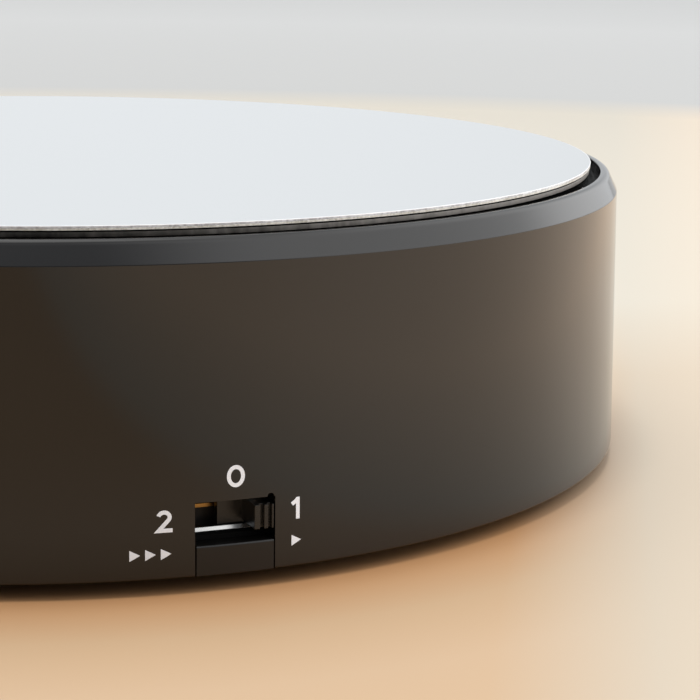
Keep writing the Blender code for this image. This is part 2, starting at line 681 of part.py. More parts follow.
def gear_outline(teeth, module, tooth_direction):
    """Spur gear with straight-sided teeth, one of which points along tooth_direction (radians)."""
    pitch_radius = teeth * module / 2
    corners = ((-TOOTH_ROOT, -DEDENDUM), (-TOOTH_TIP, ADDENDUM), (TOOTH_TIP, ADDENDUM),
               (TOOTH_ROOT, -DEDENDUM))
    outline = []
    for tooth in range(teeth):
        for share, height in corners:
            angle = tooth_direction + (tooth + share) * 2 * math.pi / teeth
            radius = pitch_radius + height * module
            outline.append((radius * math.cos(angle), radius * math.sin(angle)))
    return outline


def gap_towards(direction, teeth):
    """Tooth direction of a gear that shows a gap, not a tooth, along the direction."""
    return direction + math.pi / teeth


def add_gear(bm, outline, heights, bore):
    add_prism(bm, outline, heights, holes=(circle(bore, 12)[::-1],))


def make_compound_gear(name, look, axis, wheel, pinion):
    """Wheel and pinion in one piece; each is an outline and its heights."""
    lower, upper = sorted((wheel, pinion), key=lambda gear: gear[1][0])
    body = bmesh.new()
    add_prism(body, lower[0], lower[1])
    piece = place(name, body, look, axis)
    other = bmesh.new()
    add_prism(other, upper[0], upper[1])
    combine(piece, other, "UNION", axis)
    bore = bmesh.new()
    add_rod(bore, PIN_RADIUS + GAP, (lower[1][0] - 1, upper[1][1] + 1), sides=12)
    combine(piece, bore, "DIFFERENCE", axis)


def make_gears(look, steel):
    to_second = math.pi
    back = TRAIN_ANGLE + math.pi
    output = bmesh.new()
    outline = gear_outline(OUTPUT_TEETH, COARSE_MODULE, to_second)
    add_gear(output, outline, OUTPUT_GEAR, SHAFT_RADIUS + GAP)
    place("output_gear", output, look)

    make_compound_gear(
        "second_gear", look, SECOND_AXIS,
        (gear_outline(WHEEL_TEETH, FINE_MODULE, gap_towards(TRAIN_ANGLE, WHEEL_TEETH)), SECOND_WHEEL),
        (gear_outline(LAST_PINION_TEETH, COARSE_MODULE, gap_towards(0, LAST_PINION_TEETH)),
         (OUTPUT_GEAR[0] - 0.1, SECOND_WHEEL[0] + 0.8)))
    make_compound_gear(
        "first_gear", look, FIRST_AXIS,
        (gear_outline(WHEEL_TEETH, FINE_MODULE, gap_towards(TRAIN_ANGLE, WHEEL_TEETH)), FIRST_WHEEL),
        (gear_outline(PINION_TEETH, FINE_MODULE, back), (FIRST_WHEEL[1] - 0.8, SECOND_WHEEL[1])))

    pinion = bmesh.new()
    outline = gear_outline(PINION_TEETH, FINE_MODULE, back)
    add_gear(pinion, outline, (FIRST_WHEEL[0] - 0.1, FIRST_WHEEL[1]), PIN_RADIUS + GAP)
    place("motor_pinion", pinion, steel, MOTOR_AXIS)

    for name, axis in (("second_gear_pin", SECOND_AXIS), ("first_gear_pin", FIRST_AXIS)):
        pin = bmesh.new()
        add_rod(pin, PIN_RADIUS, (PLATE[0], DECK_BOTTOM - GAP), sides=12)
        place(name, pin, steel, axis)


def make_gearbox_plate(look, screw_look):
    holes = [circle(1.5, 8, post)[::-1] for post in POSTS]
    holes.append(circle(2.3, 12)[::-1])
    holes.append(circle(4.0, 12, MOTOR_AXIS)[::-1])
    holes += [circle(PIN_RADIUS + GAP, 10, axis)[::-1] for axis in (SECOND_AXIS, FIRST_AXIS)]
    bm = bmesh.new()
    add_prism(bm, rounded_rectangle(PLATE_X, PLATE_Y, 7.0), PLATE, holes=holes)
    place("gearbox_plate", bm, look, smooth=False)
    head = (PLATE[0] - GAP - 1.6, PLATE[0] - GAP)
    for number, post in enumerate(POSTS, 1):
        profile = screw_profile(*head, 34.0, 2.4, 0.9)
        place(f"gearbox_screw_{number}", turned(profile, 10), screw_look, (*post, 0))


def make_motor(can_look, cap_look, steel):
    bore = PIN_RADIUS + GAP
    low, high = MOTOR_CAN
    can = [(bore, high + 1.6), (3.4, high + 1.6), (3.4, high), (MOTOR_RADIUS - 0.8, high),
           (MOTOR_RADIUS, high - 0.8), (MOTOR_RADIUS, low), (bore, low)]
    place("motor_can", turned(can, 28), can_look, MOTOR_AXIS)
    low, high = MOTOR_CAP
    cap = [(bore, high), (MOTOR_RADIUS - 0.4, high), (MOTOR_RADIUS - 0.4, low + 0.5),
           (MOTOR_RADIUS - 0.9, low), (bore, low)]
    place("motor_end_cap", turned(cap, 28), cap_look, MOTOR_AXIS)
    shaft = bmesh.new()
    add_rod(shaft, PIN_RADIUS, (5.6, FIRST_WHEEL[1] + 0.2), sides=12)
    place("motor_shaft", shaft, steel, MOTOR_AXIS)


# ---------------------------------------------------------------- platter and rollers

def make_output(steel, bush_look, screw_look):
    shaft = [(0, SHAFT_TOP - 9), (1.6, SHAFT_TOP - 9), (1.6, SHAFT_TOP), (SHAFT_RADIUS - 0.3, SHAFT_TOP),
             (SHAFT_RADIUS, SHAFT_TOP - 0.3), (SHAFT_RADIUS, PLATE[1] + 0.6), (2.0, PLATE[1] + 0.6),
             (2.0, PLATE[0] - 0.5), (0, PLATE[0] - 0.5)]
    place("output_shaft", turned(shaft, 16), steel)
    flange = (OUTPUT_GEAR[1] + 1.4, DECK_BOTTOM - GAP)
    bore = SHAFT_RADIUS + GAP
    bush = [(bore, 43.0), (BUSH_RADIUS, 43.0), (BUSH_RADIUS, flange[1]), (8.0, flange[1]),
            (8.0, flange[0]), (bore, flange[0])]
    place("output_bush", turned(bush, 20), bush_look)
    head = (46.9, 47.7)
    profile = screw_profile(*head, SHAFT_TOP - 7, 3.0, SHANK_RADIUS)
    place("hub_screw", turned(profile, 12), screw_look)


def make_platter(look, disc_look):
    plate_bottom = TRACK_HEIGHT + 0.6
    wall_inner = PLATTER_WALL_RADIUS - 2.0
    bore = SHAFT_RADIUS + GAP
    profile = [
        (3.4, PLATTER_TOP), (PLATTER_RADIUS - 0.2, PLATTER_TOP), (PLATTER_RADIUS, PLATTER_TOP - 0.2),
        (PLATTER_RADIUS, PLATTER_TOP - PLATTER_FLANGE),
        (PLATTER_WALL_RADIUS, PLATTER_TOP - PLATTER_FLANGE - 0.3),
        (PLATTER_WALL_RADIUS, 43.6), (wall_inner, 43.6), (wall_inner, plate_bottom),
        (ROLLER_CIRCLE + 4, plate_bottom), (ROLLER_CIRCLE + 4, TRACK_HEIGHT),
        (ROLLER_CIRCLE - 4, TRACK_HEIGHT), (ROLLER_CIRCLE - 4, plate_bottom),
        (9.0, plate_bottom), (9.0, 43.6), (bore, 43.6), (bore, SHAFT_TOP + GAP),
        (1.6, SHAFT_TOP + GAP), (1.6, 46.6), (3.4, 46.6)]
    place("platter", turned(profile, ROUND_STEPS), look)
    disc = [(0, DISC_TOP), (DISC_RADIUS, DISC_TOP), (DISC_RADIUS, DISC_BOTTOM), (0, DISC_BOTTOM)]
    place("mirror_disc", turned(disc, ROUND_STEPS), disc_look)


def make_rollers(look, steel):
    bore = ROLLER_PIN_RADIUS + GAP
    half, radius = ROLLER_HALF_WIDTH, ROLLER_RADIUS
    tyre = [(bore, half), (radius - 0.4, half), (radius, half - 0.4), (radius, 0.4 - half),
            (radius - 0.4, -half), (bore, -half)]
    for number, angle in enumerate(ROLLER_ANGLES, 1):
        at = polar(ROLLER_CIRCLE, angle, ROLLER_HEIGHT)
        turn = (0, math.radians(90), math.radians(angle))
        place(f"roller_{number}", turned(tyre, 18), look, at, turn)
        pin = bmesh.new()
        add_rod(pin, ROLLER_PIN_RADIUS, (-ROLLER_PIN_HALF, ROLLER_PIN_HALF), sides=10)
        place(f"roller_pin_{number}", pin, steel, at, turn)


# ---------------------------------------------------------------- wiring

def make_wires(red, black):
    """Insulated leads, which lie on the base plate between their solder joints."""
    radius = 0.7
    battery_to_switch = [
        (15, 85.2, 12), (17, 87, 11.5), (24, 87, 9), (32, 79, 6), (42, 60, 4.4), (46, 30, 4.4),
        (42, -10, 4.4), (30, -45, 4.4), (14, -68, 5), (3, -79, 8), (0.5, -86.4, 8.9)]
    battery_to_motor = [
        (-15, 23.2, 12), (-16, 21.5, 11.5), (-20, 16, 7), (-28, 6, 4.4), (-40, -4, 4.4),
        (-50, -14, 4.8), (-52, -17, 5.2)]
    switch_to_motor = [
        (-4.7, -86.4, 5.7), (-7, -82, 5.4), (-14, -72, 4.4), (-30, -56, 4.4), (-44, -42, 4.4),
        (-54, -30, 4.8), (-56, -26, 5.2)]
    tube("wire_battery_to_switch", smooth_route(battery_to_switch, 2), radius, red)
    tube("wire_battery_to_motor", smooth_route(battery_to_motor, 3), radius, black)
    tube("wire_switch_to_motor", smooth_route(switch_to_motor, 3), radius, red)


# ---------------------------------------------------------------- whole object

def main():
    clear_scene()
    casing_black = material("casing_black", (0.022, 0.019, 0.016), 0.42)
    base_black = material("base_black", (0.022, 0.020, 0.018), 0.5)
    platter_black = material("platter_black", (0.012, 0.012, 0.012), 0.12)
    mirror = material("mirror", (0.80, 0.83, 0.85), 0.08, 1.0)
    rubber = material("rubber", (0.020, 0.020, 0.020), 0.8)
    steel = material("steel", (0.56, 0.55, 0.53), 0.28, 1.0)
    zinc = material("zinc", (0.62, 0.61, 0.60), 0.3, 1.0)
    brass = material("brass", (0.72, 0.50, 0.22), 0.25, 1.0)
    nylon = material("nylon", (0.80, 0.79, 0.75), 0.45)
    acetal = material("acetal", (0.72, 0.72, 0.70), 0.4)
    knob_black = material("knob_black", (0.012, 0.011, 0.010), 0.25)
    phenolic = material("phenolic", (0.035, 0.022, 0.015), 0.6)
    cell_sleeve = material("cell_sleeve", (0.04, 0.09, 0.20), 0.3)
    resistor_body = material("resistor_body", (0.58, 0.48, 0.34), 0.5)
    wire_red = material("wire_red", (0.45, 0.03, 0.02), 0.45)
    wire_black = material("wire_black", (0.02, 0.02, 0.02), 0.45)

    make_casing(casing_black)
    make_base(base_black)
    make_feet(rubber)
    make_case_screws(zinc)
    make_cells(cell_sleeve)
    make_contacts(zinc, steel)
    make_door(base_black)
    make_switch_frame(steel)
    make_slider(knob_black, brass)
    make_terminals(brass, phenolic)
    make_switch_screws(zinc)
    make_resistor(resistor_body)
    make_gears(nylon, steel)
    make_gearbox_plate(acetal, zinc)
    make_motor(steel, acetal, steel)
    make_output(steel, acetal, zinc)
    make_platter(platter_black, mirror)
    make_rollers(acetal, steel)
    make_wires(wire_red, wire_black)


main()
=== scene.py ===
"""Looks of the motorised display turntable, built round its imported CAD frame.

Sizes are millimetres, and the mesh helpers turn them into metres. Places come from the boxes of
the CAD nodes. Depths in the switch are measured inwards from the front of the skirt, as in CAD.
Heights are the drawing's: its zero level lies DATUM above the table, which the rubber feet span.
"""
import json
import math

import bmesh
import bpy
from mathutils import Matrix, Vector


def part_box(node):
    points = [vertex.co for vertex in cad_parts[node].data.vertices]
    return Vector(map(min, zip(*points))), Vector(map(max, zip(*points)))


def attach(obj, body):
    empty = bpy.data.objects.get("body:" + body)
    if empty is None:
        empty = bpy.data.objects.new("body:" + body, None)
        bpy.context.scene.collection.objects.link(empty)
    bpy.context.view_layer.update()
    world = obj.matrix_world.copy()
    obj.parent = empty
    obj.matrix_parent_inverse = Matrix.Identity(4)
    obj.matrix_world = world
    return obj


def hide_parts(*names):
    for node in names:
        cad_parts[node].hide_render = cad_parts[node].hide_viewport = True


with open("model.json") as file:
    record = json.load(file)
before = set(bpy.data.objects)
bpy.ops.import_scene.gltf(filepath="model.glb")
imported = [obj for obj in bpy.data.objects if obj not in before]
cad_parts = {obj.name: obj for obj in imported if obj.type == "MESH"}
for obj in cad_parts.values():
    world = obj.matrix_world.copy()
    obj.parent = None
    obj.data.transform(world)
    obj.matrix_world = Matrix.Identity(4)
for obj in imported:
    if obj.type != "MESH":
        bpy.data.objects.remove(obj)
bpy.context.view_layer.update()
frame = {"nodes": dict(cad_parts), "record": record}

MM = 0.001
SMOOTH_ANGLE = math.radians(35)
DATUM = Vector((0, 0, 1.1))             # the drawing's zero level, above the table


def box_mm(node):
    """Lowest and highest corners of a CAD node, in millimetres from the drawing's zero level."""
    low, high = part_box(node)
    return Vector(low) / MM - DATUM, Vector(high) / MM - DATUM


CASING = box_mm("upper_casing")
BASE = box_mm("base_plate")
PLATTER = box_mm("platter")
DISC = box_mm("mirror_disc")
DOOR = box_mm("battery_door")
SWITCH_FRAME = box_mm("switch_frame")
SLIDER = box_mm("switch_slider")

# Casing.
SKIRT_RADIUS = CASING[1].x
SKIRT_BOTTOM = CASING[0].z
RIM_HEIGHT = CASING[1].z
RIM_RADIUS = SKIRT_RADIUS - 2.5         # outside of the flat rim, where the chamfer starts
CREASE_RADIUS = SKIRT_RADIUS - 0.88     # where the chamfer meets the skirt
CREASE_HEIGHT = RIM_HEIGHT - 3.25
WELL_RADIUS = SKIRT_RADIUS - 3.8
WALL = 2.2
DECK = (39.1, 41.5)
INTO_DECK = DECK[0] + 0.9               # posts run on into the deck
BUSH_HOLE = 6.3
CASE_POST = (4.0, 8.3)                  # radius, and height of its foot
CASE_PILOT = (1.5, (8.0, 20.0))         # radius, and heights
GEARBOX_POST = (3.0, 28.3)
GEARBOX_PILOT = (1.2, (28.0, 36.0))
ROLLER_ANGLES = (90, 210, 330)
ROLLER_POCKET = ((77.5, 82.5), 4.7)     # from and to along the radius, and half width
AXLE_GROOVE = ((75.1, 84.9), 1.05)
GROOVE_FLOOR = 39.65

# Base plate and battery bay.
PLATE_TOP = 3.2
BAY_GAP = 0.35
BAY_BACK = 82.5
BAY_ROOF = 18.5
BAY_WALL = 1.5
CELL_LENGTH = 50.5
SCREW_PAD = (5.4, 8.0)                  # radius, and height of its top
RIB_X = (-9.0, 9.5)                     # the low rib behind the tab
TONGUE_PLACE = 7.5                      # of each door tongue, left and right of the middle
BELOW = SKIRT_BOTTOM - 1                # cuts start under the base

# Numbers of the pieces that come in sets.
FOUR = (1, 2, 3, 4)
THREE = (1, 2, 3)
TURNED_CELL = 2                         # the middle cell lies the other way round

# Layers of the turning top, from the mirror's face down to the platter's flange.
DISC_TOP = DISC[1].z
SHEET_THICK = 0.34
BOARD_THICK = 0.31
FILM_THICK = 0.22
FLANGE_THICK = 0.72

# Openings of the casing.
WINDOW_HALF_WIDTH = 5.8
WINDOW_TOP = 11.6
NICK = (5.15, 0.5)                      # place along the window's top edge, and radius
ROUND_STEPS = 288                       # sides of the large round parts
DISC_STEPS = 720

# Switch.
FRAME_FACE = 4.6
SHEET = 0.6
SLOT_X = (-5.5, 5.9)
SLOT_Z = (6.8, 10.8)
LIP_FOOT = 6.2                          # the slot's lower edge is rolled back from this height
EAR_X = (-12.0, 13.0)
EAR_REACH = 3.0                         # from an ear's screw to its end, and to the box
KNOB_X = (SLIDER[0].x + SLIDER[1].x) / 2
KNOB_MIDDLE = (SLIDER[0].z + SLIDER[1].z) / 2
KNOB_RIBS = ((-1.4, -0.6), (0.0, 0.6), (1.1, 1.4))      # across the knob, from its middle
KNOB_RIB_DEPTH = 0.8
KNOB_HALF_HEIGHT = 1.7
KNOB_FACE = 0.3
TAB_TOP = 5.5
RIB_TOP = 6.2

# Camera: a long lens, low in front and a little to the left of the switch.
CAMERA_DISTANCE = 3.754 * SKIRT_RADIUS
CAMERA_HEIGHT = 0.917 * SKIRT_RADIUS
CAMERA_AZIMUTH = -14.37                 # degrees round from the switch
CAMERA_YAW = 8.19                       # turned right, away from the turntable's axis
CAMERA_PITCH = 11.90                    # turned down
CAMERA_ROLL = 1.08
LENS = 109.2

NOISE = (0.3, 0.7)                      # nearly all of a noise texture lies between these


# ---- mesh helpers

def polar(radius, degrees, height=0.0):
    angle = math.radians(degrees)
    return Vector((radius * math.cos(angle), radius * math.sin(angle), height))


def depth(value):
    """Y of a point that lies this far behind the front of the skirt."""
    return value - SKIRT_RADIUS


def span(middle, half):
    return (middle - half, middle + half)


def skirt_radius(height):
    """Outside radius of the drafted skirt at a height."""
    share = (height - SKIRT_BOTTOM) / (CREASE_HEIGHT - SKIRT_BOTTOM)
    return SKIRT_RADIUS + (CREASE_RADIUS - SKIRT_RADIUS) * share


def middle_of(node):
    low, high = box_mm(node)
    return (low + high) / 2


def round_off(corners, steps=5):
    """Closed outline through (x, y, radius) corners, with an arc of that radius in each corner."""
    points = []
    count = len(corners)
    for i, (x, y, radius) in enumerate(corners):
        here = Vector((x, y))
        if radius == 0:
            points.append((x, y))
            continue
        before = (Vector(corners[i - 1][:2]) - here).normalized()
        after = (Vector(corners[(i + 1) % count][:2]) - here).normalized()
        half = before.angle(after) / 2
        reach = radius / math.tan(half)
        middle = here + (before + after).normalized() * radius / math.sin(half)
        start, end = here + before * reach - middle, here + after * reach - middle
        turn = start.angle_signed(end)
        for step in range(steps + 1):
            arm = start.copy()
            arm.rotate(Matrix.Rotation(-turn * step / steps, 2))
            points.append(tuple(middle + arm))
    return points


def add_turned(bm, outline, steps, middle=None):
    """Turn a closed (radius, height) outline about Z, or about an upright line through `middle`."""
    rings = []
    for radius, height in outline:
        if radius < 1e-6:
            rings.append([bm.verts.new((0, 0, height * MM))])
            continue
        rings.append([bm.verts.new(polar(radius, 360 * i / steps, height) * MM) for i in range(steps)])
    for a, b in zip(rings, rings[1:] + rings[:1]):
        if len(a) == len(b) == 1:
            continue
        for i in range(steps):
            j = (i + 1) % steps
            corners = [a[i % len(a)], a[j % len(a)], b[j % len(b)], b[i % len(b)]]
            bm.faces.new(list(dict.fromkeys(corners)))      # a point on the axis is one vertex
    if middle is not None:
        verts = [vert for ring in rings for vert in ring]
        bmesh.ops.translate(bm, verts=verts, vec=(middle.x * MM, middle.y * MM, 0))


def turned(outline, steps, middle=None):
    bm = bmesh.new()
    add_turned(bm, outline, steps, middle)
    return bm


def bridge(bm, sections, closed=False):
    """Skin a row of cross-sections, and cap both ends of an open row."""
    for one, two in zip(sections, sections[1:] + sections[:1] if closed else sections[1:]):
        for i in range(len(one)):
            j = (i + 1) % len(one)
            bm.faces.new((one[i], one[j], two[j], two[i]))
    if not closed:
        bm.faces.new(sections[0][::-1])
        bm.faces.new(sections[-1])


def add_prism(bm, outline, heights, turn=None):
    """Extrude an outline between two heights; `turn` then moves it."""
    low = [bm.verts.new((x * MM, y * MM, heights[0] * MM)) for x, y in outline]
    high = [bm.verts.new((x * MM, y * MM, heights[1] * MM)) for x, y in outline]
    bm.faces.new(low[::-1])
    bm.faces.new(high)
    for i in range(len(low)):
        j = (i + 1) % len(low)
        bm.faces.new((low[i], low[j], high[j], high[i]))
    if turn is not None:
        bmesh.ops.transform(bm, matrix=turn, verts=low + high)


def prism(outline, heights, turn=None):
    bm = bmesh.new()
    add_prism(bm, outline, heights, turn)
    return bm


def rectangle(xs, ys):
    return [(xs[0], ys[0]), (xs[1], ys[0]), (xs[1], ys[1]), (xs[0], ys[1])]


def add_box(bm, xs, ys, zs):
    add_prism(bm, rectangle(xs, ys), zs)


def add_rod(bm, radius, heights, center=(0, 0), sides=24, turn=None):
    outline = [tuple(polar(radius, 360 * i / sides)[:2]) for i in range(sides)]
    add_prism(bm, [(x + center[0], y + center[1]) for x, y in outline], heights, turn)


# Lays an upright shape along Y: its heights are then y, and its outline's points (x, -z).
ALONG_Y = Matrix.Rotation(math.radians(-90), 4, "X")


def along_y(x, z):
    """Matrix that lays an upright shape along +Y, from the point (x, 0, z)."""
    return Matrix.Translation(Vector((x, 0, z)) * MM) @ ALONG_Y


# Lays a prism along X: its outline's points are then (y, z), and its heights are x.
ALONG_X = Matrix(((0, 0, 1, 0), (1, 0, 0, 0), (0, 1, 0, 0), (0, 0, 0, 1)))


def new_object(name, data):
    made = bpy.data.objects.new(name, data)
    bpy.context.scene.collection.objects.link(made)
    return made


def finish_mesh(name, bm):
    bmesh.ops.recalc_face_normals(bm, faces=bm.faces)
    mesh = bpy.data.meshes.new(name)
    bm.to_mesh(mesh)
    bm.free()
    return mesh


def add_piece(name, bm, body, look, replaces=(), matrix=None):
    """A finished piece that rides on a body and stands for CAD nodes."""
    mesh = finish_mesh(name, bm)
    mesh.shade_smooth()
    mesh.set_sharp_from_angle(angle=SMOOTH_ANGLE)
    mesh.materials.append(look)
    piece = new_object(name, mesh)
    piece.matrix_world = Matrix.Translation(DATUM * MM) @ (matrix or Matrix())
    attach(piece, body)
    if replaces:
        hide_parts(*replaces)
    return piece


def combine(piece, bm, operation):
    """Add the closed bodies in `bm` to the piece, or cut them from it. They move with the piece."""
    helper_name = f"{piece.name}_{operation.lower()}_{len(piece.modifiers) + 1}"
    helper = new_object(helper_name, finish_mesh(helper_name, bm))
    helper.parent = piece
    helper.hide_render = helper.hide_viewport = True
    boolean = piece.modifiers.new(helper_name, "BOOLEAN")
    boolean.operation = operation
    boolean.solver = "EXACT"
    boolean.object = helper


def ease_edges(piece, width, steps=2):
    """Round the piece's sharp edges a little, and keep its flat faces flat in shading."""
    bevel = piece.modifiers.new("eased_edges", "BEVEL")
    bevel.width = width * MM
    bevel.segments = steps
    bevel.limit_method = "ANGLE"
    bevel.angle_limit = math.radians(40)
    piece.modifiers.new("even_shading", "WEIGHTED_NORMAL").keep_sharp = True


# ---- materials

def new_material(name, color, roughness, metallic=0.0, ior=1.5):
    made = bpy.data.materials.new(name)
    made.use_nodes = True
    shader = made.node_tree.nodes["Principled BSDF"]
    shader.inputs["Base Color"].default_value = (*color, 1.0)
    shader.inputs["Roughness"].default_value = roughness
    shader.inputs["Metallic"].default_value = metallic
    shader.inputs["IOR"].default_value = ior
    return made


def feed(look, socket, value):
    """Set an input, or link it to another node's output."""
    if isinstance(value, bpy.types.NodeSocket):
        look.node_tree.links.new(value, socket)
    else:
        socket.default_value = value


def add_node(look, kind, settings=None, **inputs):
    """A node with its settings and its inputs, each a value or another node's output socket."""
    node = look.node_tree.nodes.new(kind)
    for key, value in (settings or {}).items():
        setattr(node, key, value)
    for key, value in inputs.items():
        feed(look, node.inputs[key.replace("_", " ")], value)
    return node


def operate(look, kind, operation, *values):
    """A math or vector math node with these inputs."""
    node = add_node(look, kind, {"operation": operation})
    for socket, value in zip(node.inputs, values):
        feed(look, socket, value)
    return node


def coordinates(look, stretch=(1, 1, 1)):
    """Object coordinates, in metres, stretched for grain that runs one way."""
    source = add_node(look, "ShaderNodeTexCoord")
    mapped = add_node(look, "ShaderNodeMapping", Vector=source.outputs["Object"], Scale=stretch)
    return mapped.outputs["Vector"]


def grain(look, scale, detail=3.0, stretch=(1, 1, 1), roughness=0.55):
    """Noise from 0 to 1; `scale` is in features per metre."""
    noise = add_node(look, "ShaderNodeTexNoise", Vector=coordinates(look, stretch), Scale=scale,
                     Detail=detail, Roughness=roughness)
    return noise.outputs["Fac"]


def remap(look, value, source, target):
    node = add_node(look, "ShaderNodeMapRange", Value=value, From_Min=source[0], From_Max=source[1],
                    To_Min=target[0], To_Max=target[1])
    return node.outputs["Result"]


def ramp(look, value, stops, steps="LINEAR"):
    """Colour ramp; each stop is (place, colour)."""
    node = add_node(look, "ShaderNodeValToRGB", Fac=value)
    node.color_ramp.interpolation = steps
    elements = node.color_ramp.elements
    while len(elements) < len(stops):
        elements.new(0.5)
    for element, (place, color) in zip(elements, stops):
        element.position = place
        element.color = (*color, 1.0)
    return node.outputs["Color"]


def blend_colors(look, factor, first, second):
    node = add_node(look, "ShaderNodeMix", {"data_type": "RGBA"})
    feed(look, node.inputs[0], factor)
    for socket, color in ((node.inputs[6], first), (node.inputs[7], second)):
        feed(look, socket, color if isinstance(color, bpy.types.NodeSocket) else (*color, 1.0))
    return node.outputs[2]


def calculate(look, operation, first, second):
    return operate(look, "ShaderNodeMath", operation, first, second).outputs[0]


def weigh(look, first, share, second):
    """The two values added, with this share of the first and the rest of the second."""
    return calculate(look, "ADD", calculate(look, "MULTIPLY", first, share),
                     calculate(look, "MULTIPLY", second, 1 - share))


def scaled(color, factor):
    return tuple(part * factor for part in color)


def plug(look, name, value):
    look.node_tree.links.new(value, look.node_tree.nodes["Principled BSDF"].inputs[name])


def add_relief(look, height, strength, distance):
    """Bump from a height texture; `distance` is its full height in millimetres."""
    bump = add_node(look, "ShaderNodeBump", Height=height, Strength=strength, Distance=distance * MM)
    plug(look, "Normal", bump.outputs["Normal"])


def specks(look, spacing, radius, share):
    """Mask of small sparse spots: about one cell of `spacing` mm in 1/share holds one."""
    where = coordinates(look)
    cells = add_node(look, "ShaderNodeTexVoronoi", Vector=where, Scale=1 / (spacing * MM))
    close = remap(look, cells.outputs["Distance"], (0.6 * radius / spacing, radius / spacing), (1, 0))
    pick = add_node(look, "ShaderNodeSeparateColor", Color=cells.outputs["Color"])
    chosen = calculate(look, "LESS_THAN", pick.outputs["Red"], share)
    return calculate(look, "MULTIPLY", close, chosen)


def moulded_plastic(name, color, roughness, spread=0.05, relief=0.01, lint=False, ior=1.5):
    """Moulded plastic: fine grain, faint cloudy changes of gloss, and a little lint on request."""
    look = new_material(name, color, roughness, ior=ior)
    cloud = grain(look, 35, 3)
    fine = grain(look, 2600, 2)
    gloss = remap(look, weigh(look, cloud, 0.7, fine), NOISE, (roughness - spread, roughness + spread))
    tone = ramp(look, cloud, ((0.3, scaled(color, 0.85)), (0.7, scaled(color, 1.18))))
    if lint:
        dust = specks(look, 4.0, 0.07, 0.10)
        tone = blend_colors(look, dust, tone, (0.30, 0.30, 0.29))
        gloss = calculate(look, "MAXIMUM", gloss, calculate(look, "MULTIPLY", dust, 0.9))
    plug(look, "Base Color", tone)
    plug(look, "Roughness", gloss)
    add_relief(look, fine, 0.6, relief)
    return look


def metal(name, color, roughness, stretch=(1, 1, 1)):
    """Metal with drawn or rolled marks and a faint change of tone."""
    look = new_material(name, color, roughness, 1.0)
    marks = grain(look, 900, 4, stretch)
    stain = grain(look, 120, 3)
    plug(look, "Roughness", remap(look, marks, NOISE, (roughness * 0.7, roughness * 1.35)))
    plug(look, "Base Color", ramp(look, stain, ((0.3, scaled(color, 0.82)), (0.7, color))))
    add_relief(look, marks, 0.5, 0.004)
    return look


def rubber(name, color):
    look = new_material(name, color, 0.82, ior=1.45)
    fine = grain(look, 3000, 2)
    plug(look, "Roughness", remap(look, grain(look, 300, 2), NOISE, (0.74, 0.92)))
    plug(look, "Base Color", ramp(look, fine, ((0.3, scaled(color, 0.7)), (0.7, scaled(color, 1.5)))))
    add_relief(look, fine, 0.8, 0.03)
    return look


def mirror_material():
    """Silvered acrylic: a clear reflection, very slightly smeared, with a few dust specks."""
    silver, dusty = (0.90, 0.915, 0.92), (0.70, 0.71, 0.72)
    look = new_material("mirror_face", silver, 0.03, 1.0)
    smear = grain(look, 30, 4, roughness=0.6)
    dust = specks(look, 3.0, 0.05, 0.05)
    gloss = remap(look, smear, (0.35, 0.75), (0.02, 0.075))
    plug(look, "Roughness", calculate(look, "MAXIMUM", gloss, calculate(look, "MULTIPLY", dust, 0.8)))
    plug(look, "Base Color", blend_colors(look, dust, silver, dusty))
    return look


def edge_material(name, light, dark, roughness, scale=1500):
    """Sawn edge of a sheet: streaks that run round it, unevenly light and dark."""
    look = new_material(name, light, roughness)
    streaks = grain(look, scale, 4, (1, 1, 0.5))
    patches = grain(look, 120, 3)
    mix = weigh(look, streaks, 0.6, patches)
    plug(look, "Base Color", ramp(look, mix, ((0.38, dark), (0.60, light))))
    plug(look, "Roughness", remap(look, patches, NOISE, (roughness - 0.08, roughness + 0.08)))
    add_relief(look, streaks, 0.7, 0.03)
    return look


def sleeve_material():
    """Plain two-tone cell sleeve, with bare steel at both ends; Z runs along the cell."""
    look = new_material("cell_sleeve_film", (0.03, 0.05, 0.10), 0.25)
    axis = add_node(look, "ShaderNodeSeparateXYZ", Vector=coordinates(look)).outputs["Z"]
    along = remap(look, axis, (0, CELL_LENGTH * MM), (0, 1))
    sleeve, nub = 0.02, 0.968               # shares of the length where the sleeve starts and ends
    tone = ramp(look, along, ((0.0, (0.45, 0.45, 0.44)), (sleeve, (0.02, 0.035, 0.08)),
                              (0.74, (0.45, 0.25, 0.08)), (nub, (0.55, 0.55, 0.54))), "CONSTANT")
    plug(look, "Base Color", tone)
    plug(look, "Metallic", ramp(look, along, ((0.0, (1, 1, 1)), (sleeve, (0.5, 0.5, 0.5)), (nub, (1, 1, 1)))))
    plug(look, "Roughness", remap(look, grain(look, 400, 3), NOISE, (0.18, 0.34)))
    return look


def resistor_material():
    """Lacquered body with plain colour bands across X, and tinned ends."""
    tinned, body, black = (0.6, 0.6, 0.58), (0.58, 0.46, 0.30), (0.01, 0.01, 0.01)
    brown, red = (0.10, 0.03, 0.01), (0.35, 0.02, 0.01)
    look = new_material("resistor_lacquer", body, 0.35)
    axis = add_node(look, "ShaderNodeSeparateXYZ", Vector=coordinates(look)).outputs["X"]
    low, high = (corner.x * MM for corner in box_mm("speed_resistor"))
    bands = ((0.0, tinned), (0.16, body), (0.28, brown), (0.35, body), (0.46, black),
             (0.53, body), (0.62, red), (0.69, body), (0.84, tinned))
    tone = ramp(look, remap(look, axis, (low, high), (0, 1)), bands, "CONSTANT")
    plug(look, "Base Color", tone)
    plug(look, "Roughness", remap(look, grain(look, 1500, 2), NOISE, (0.28, 0.42)))
    return look


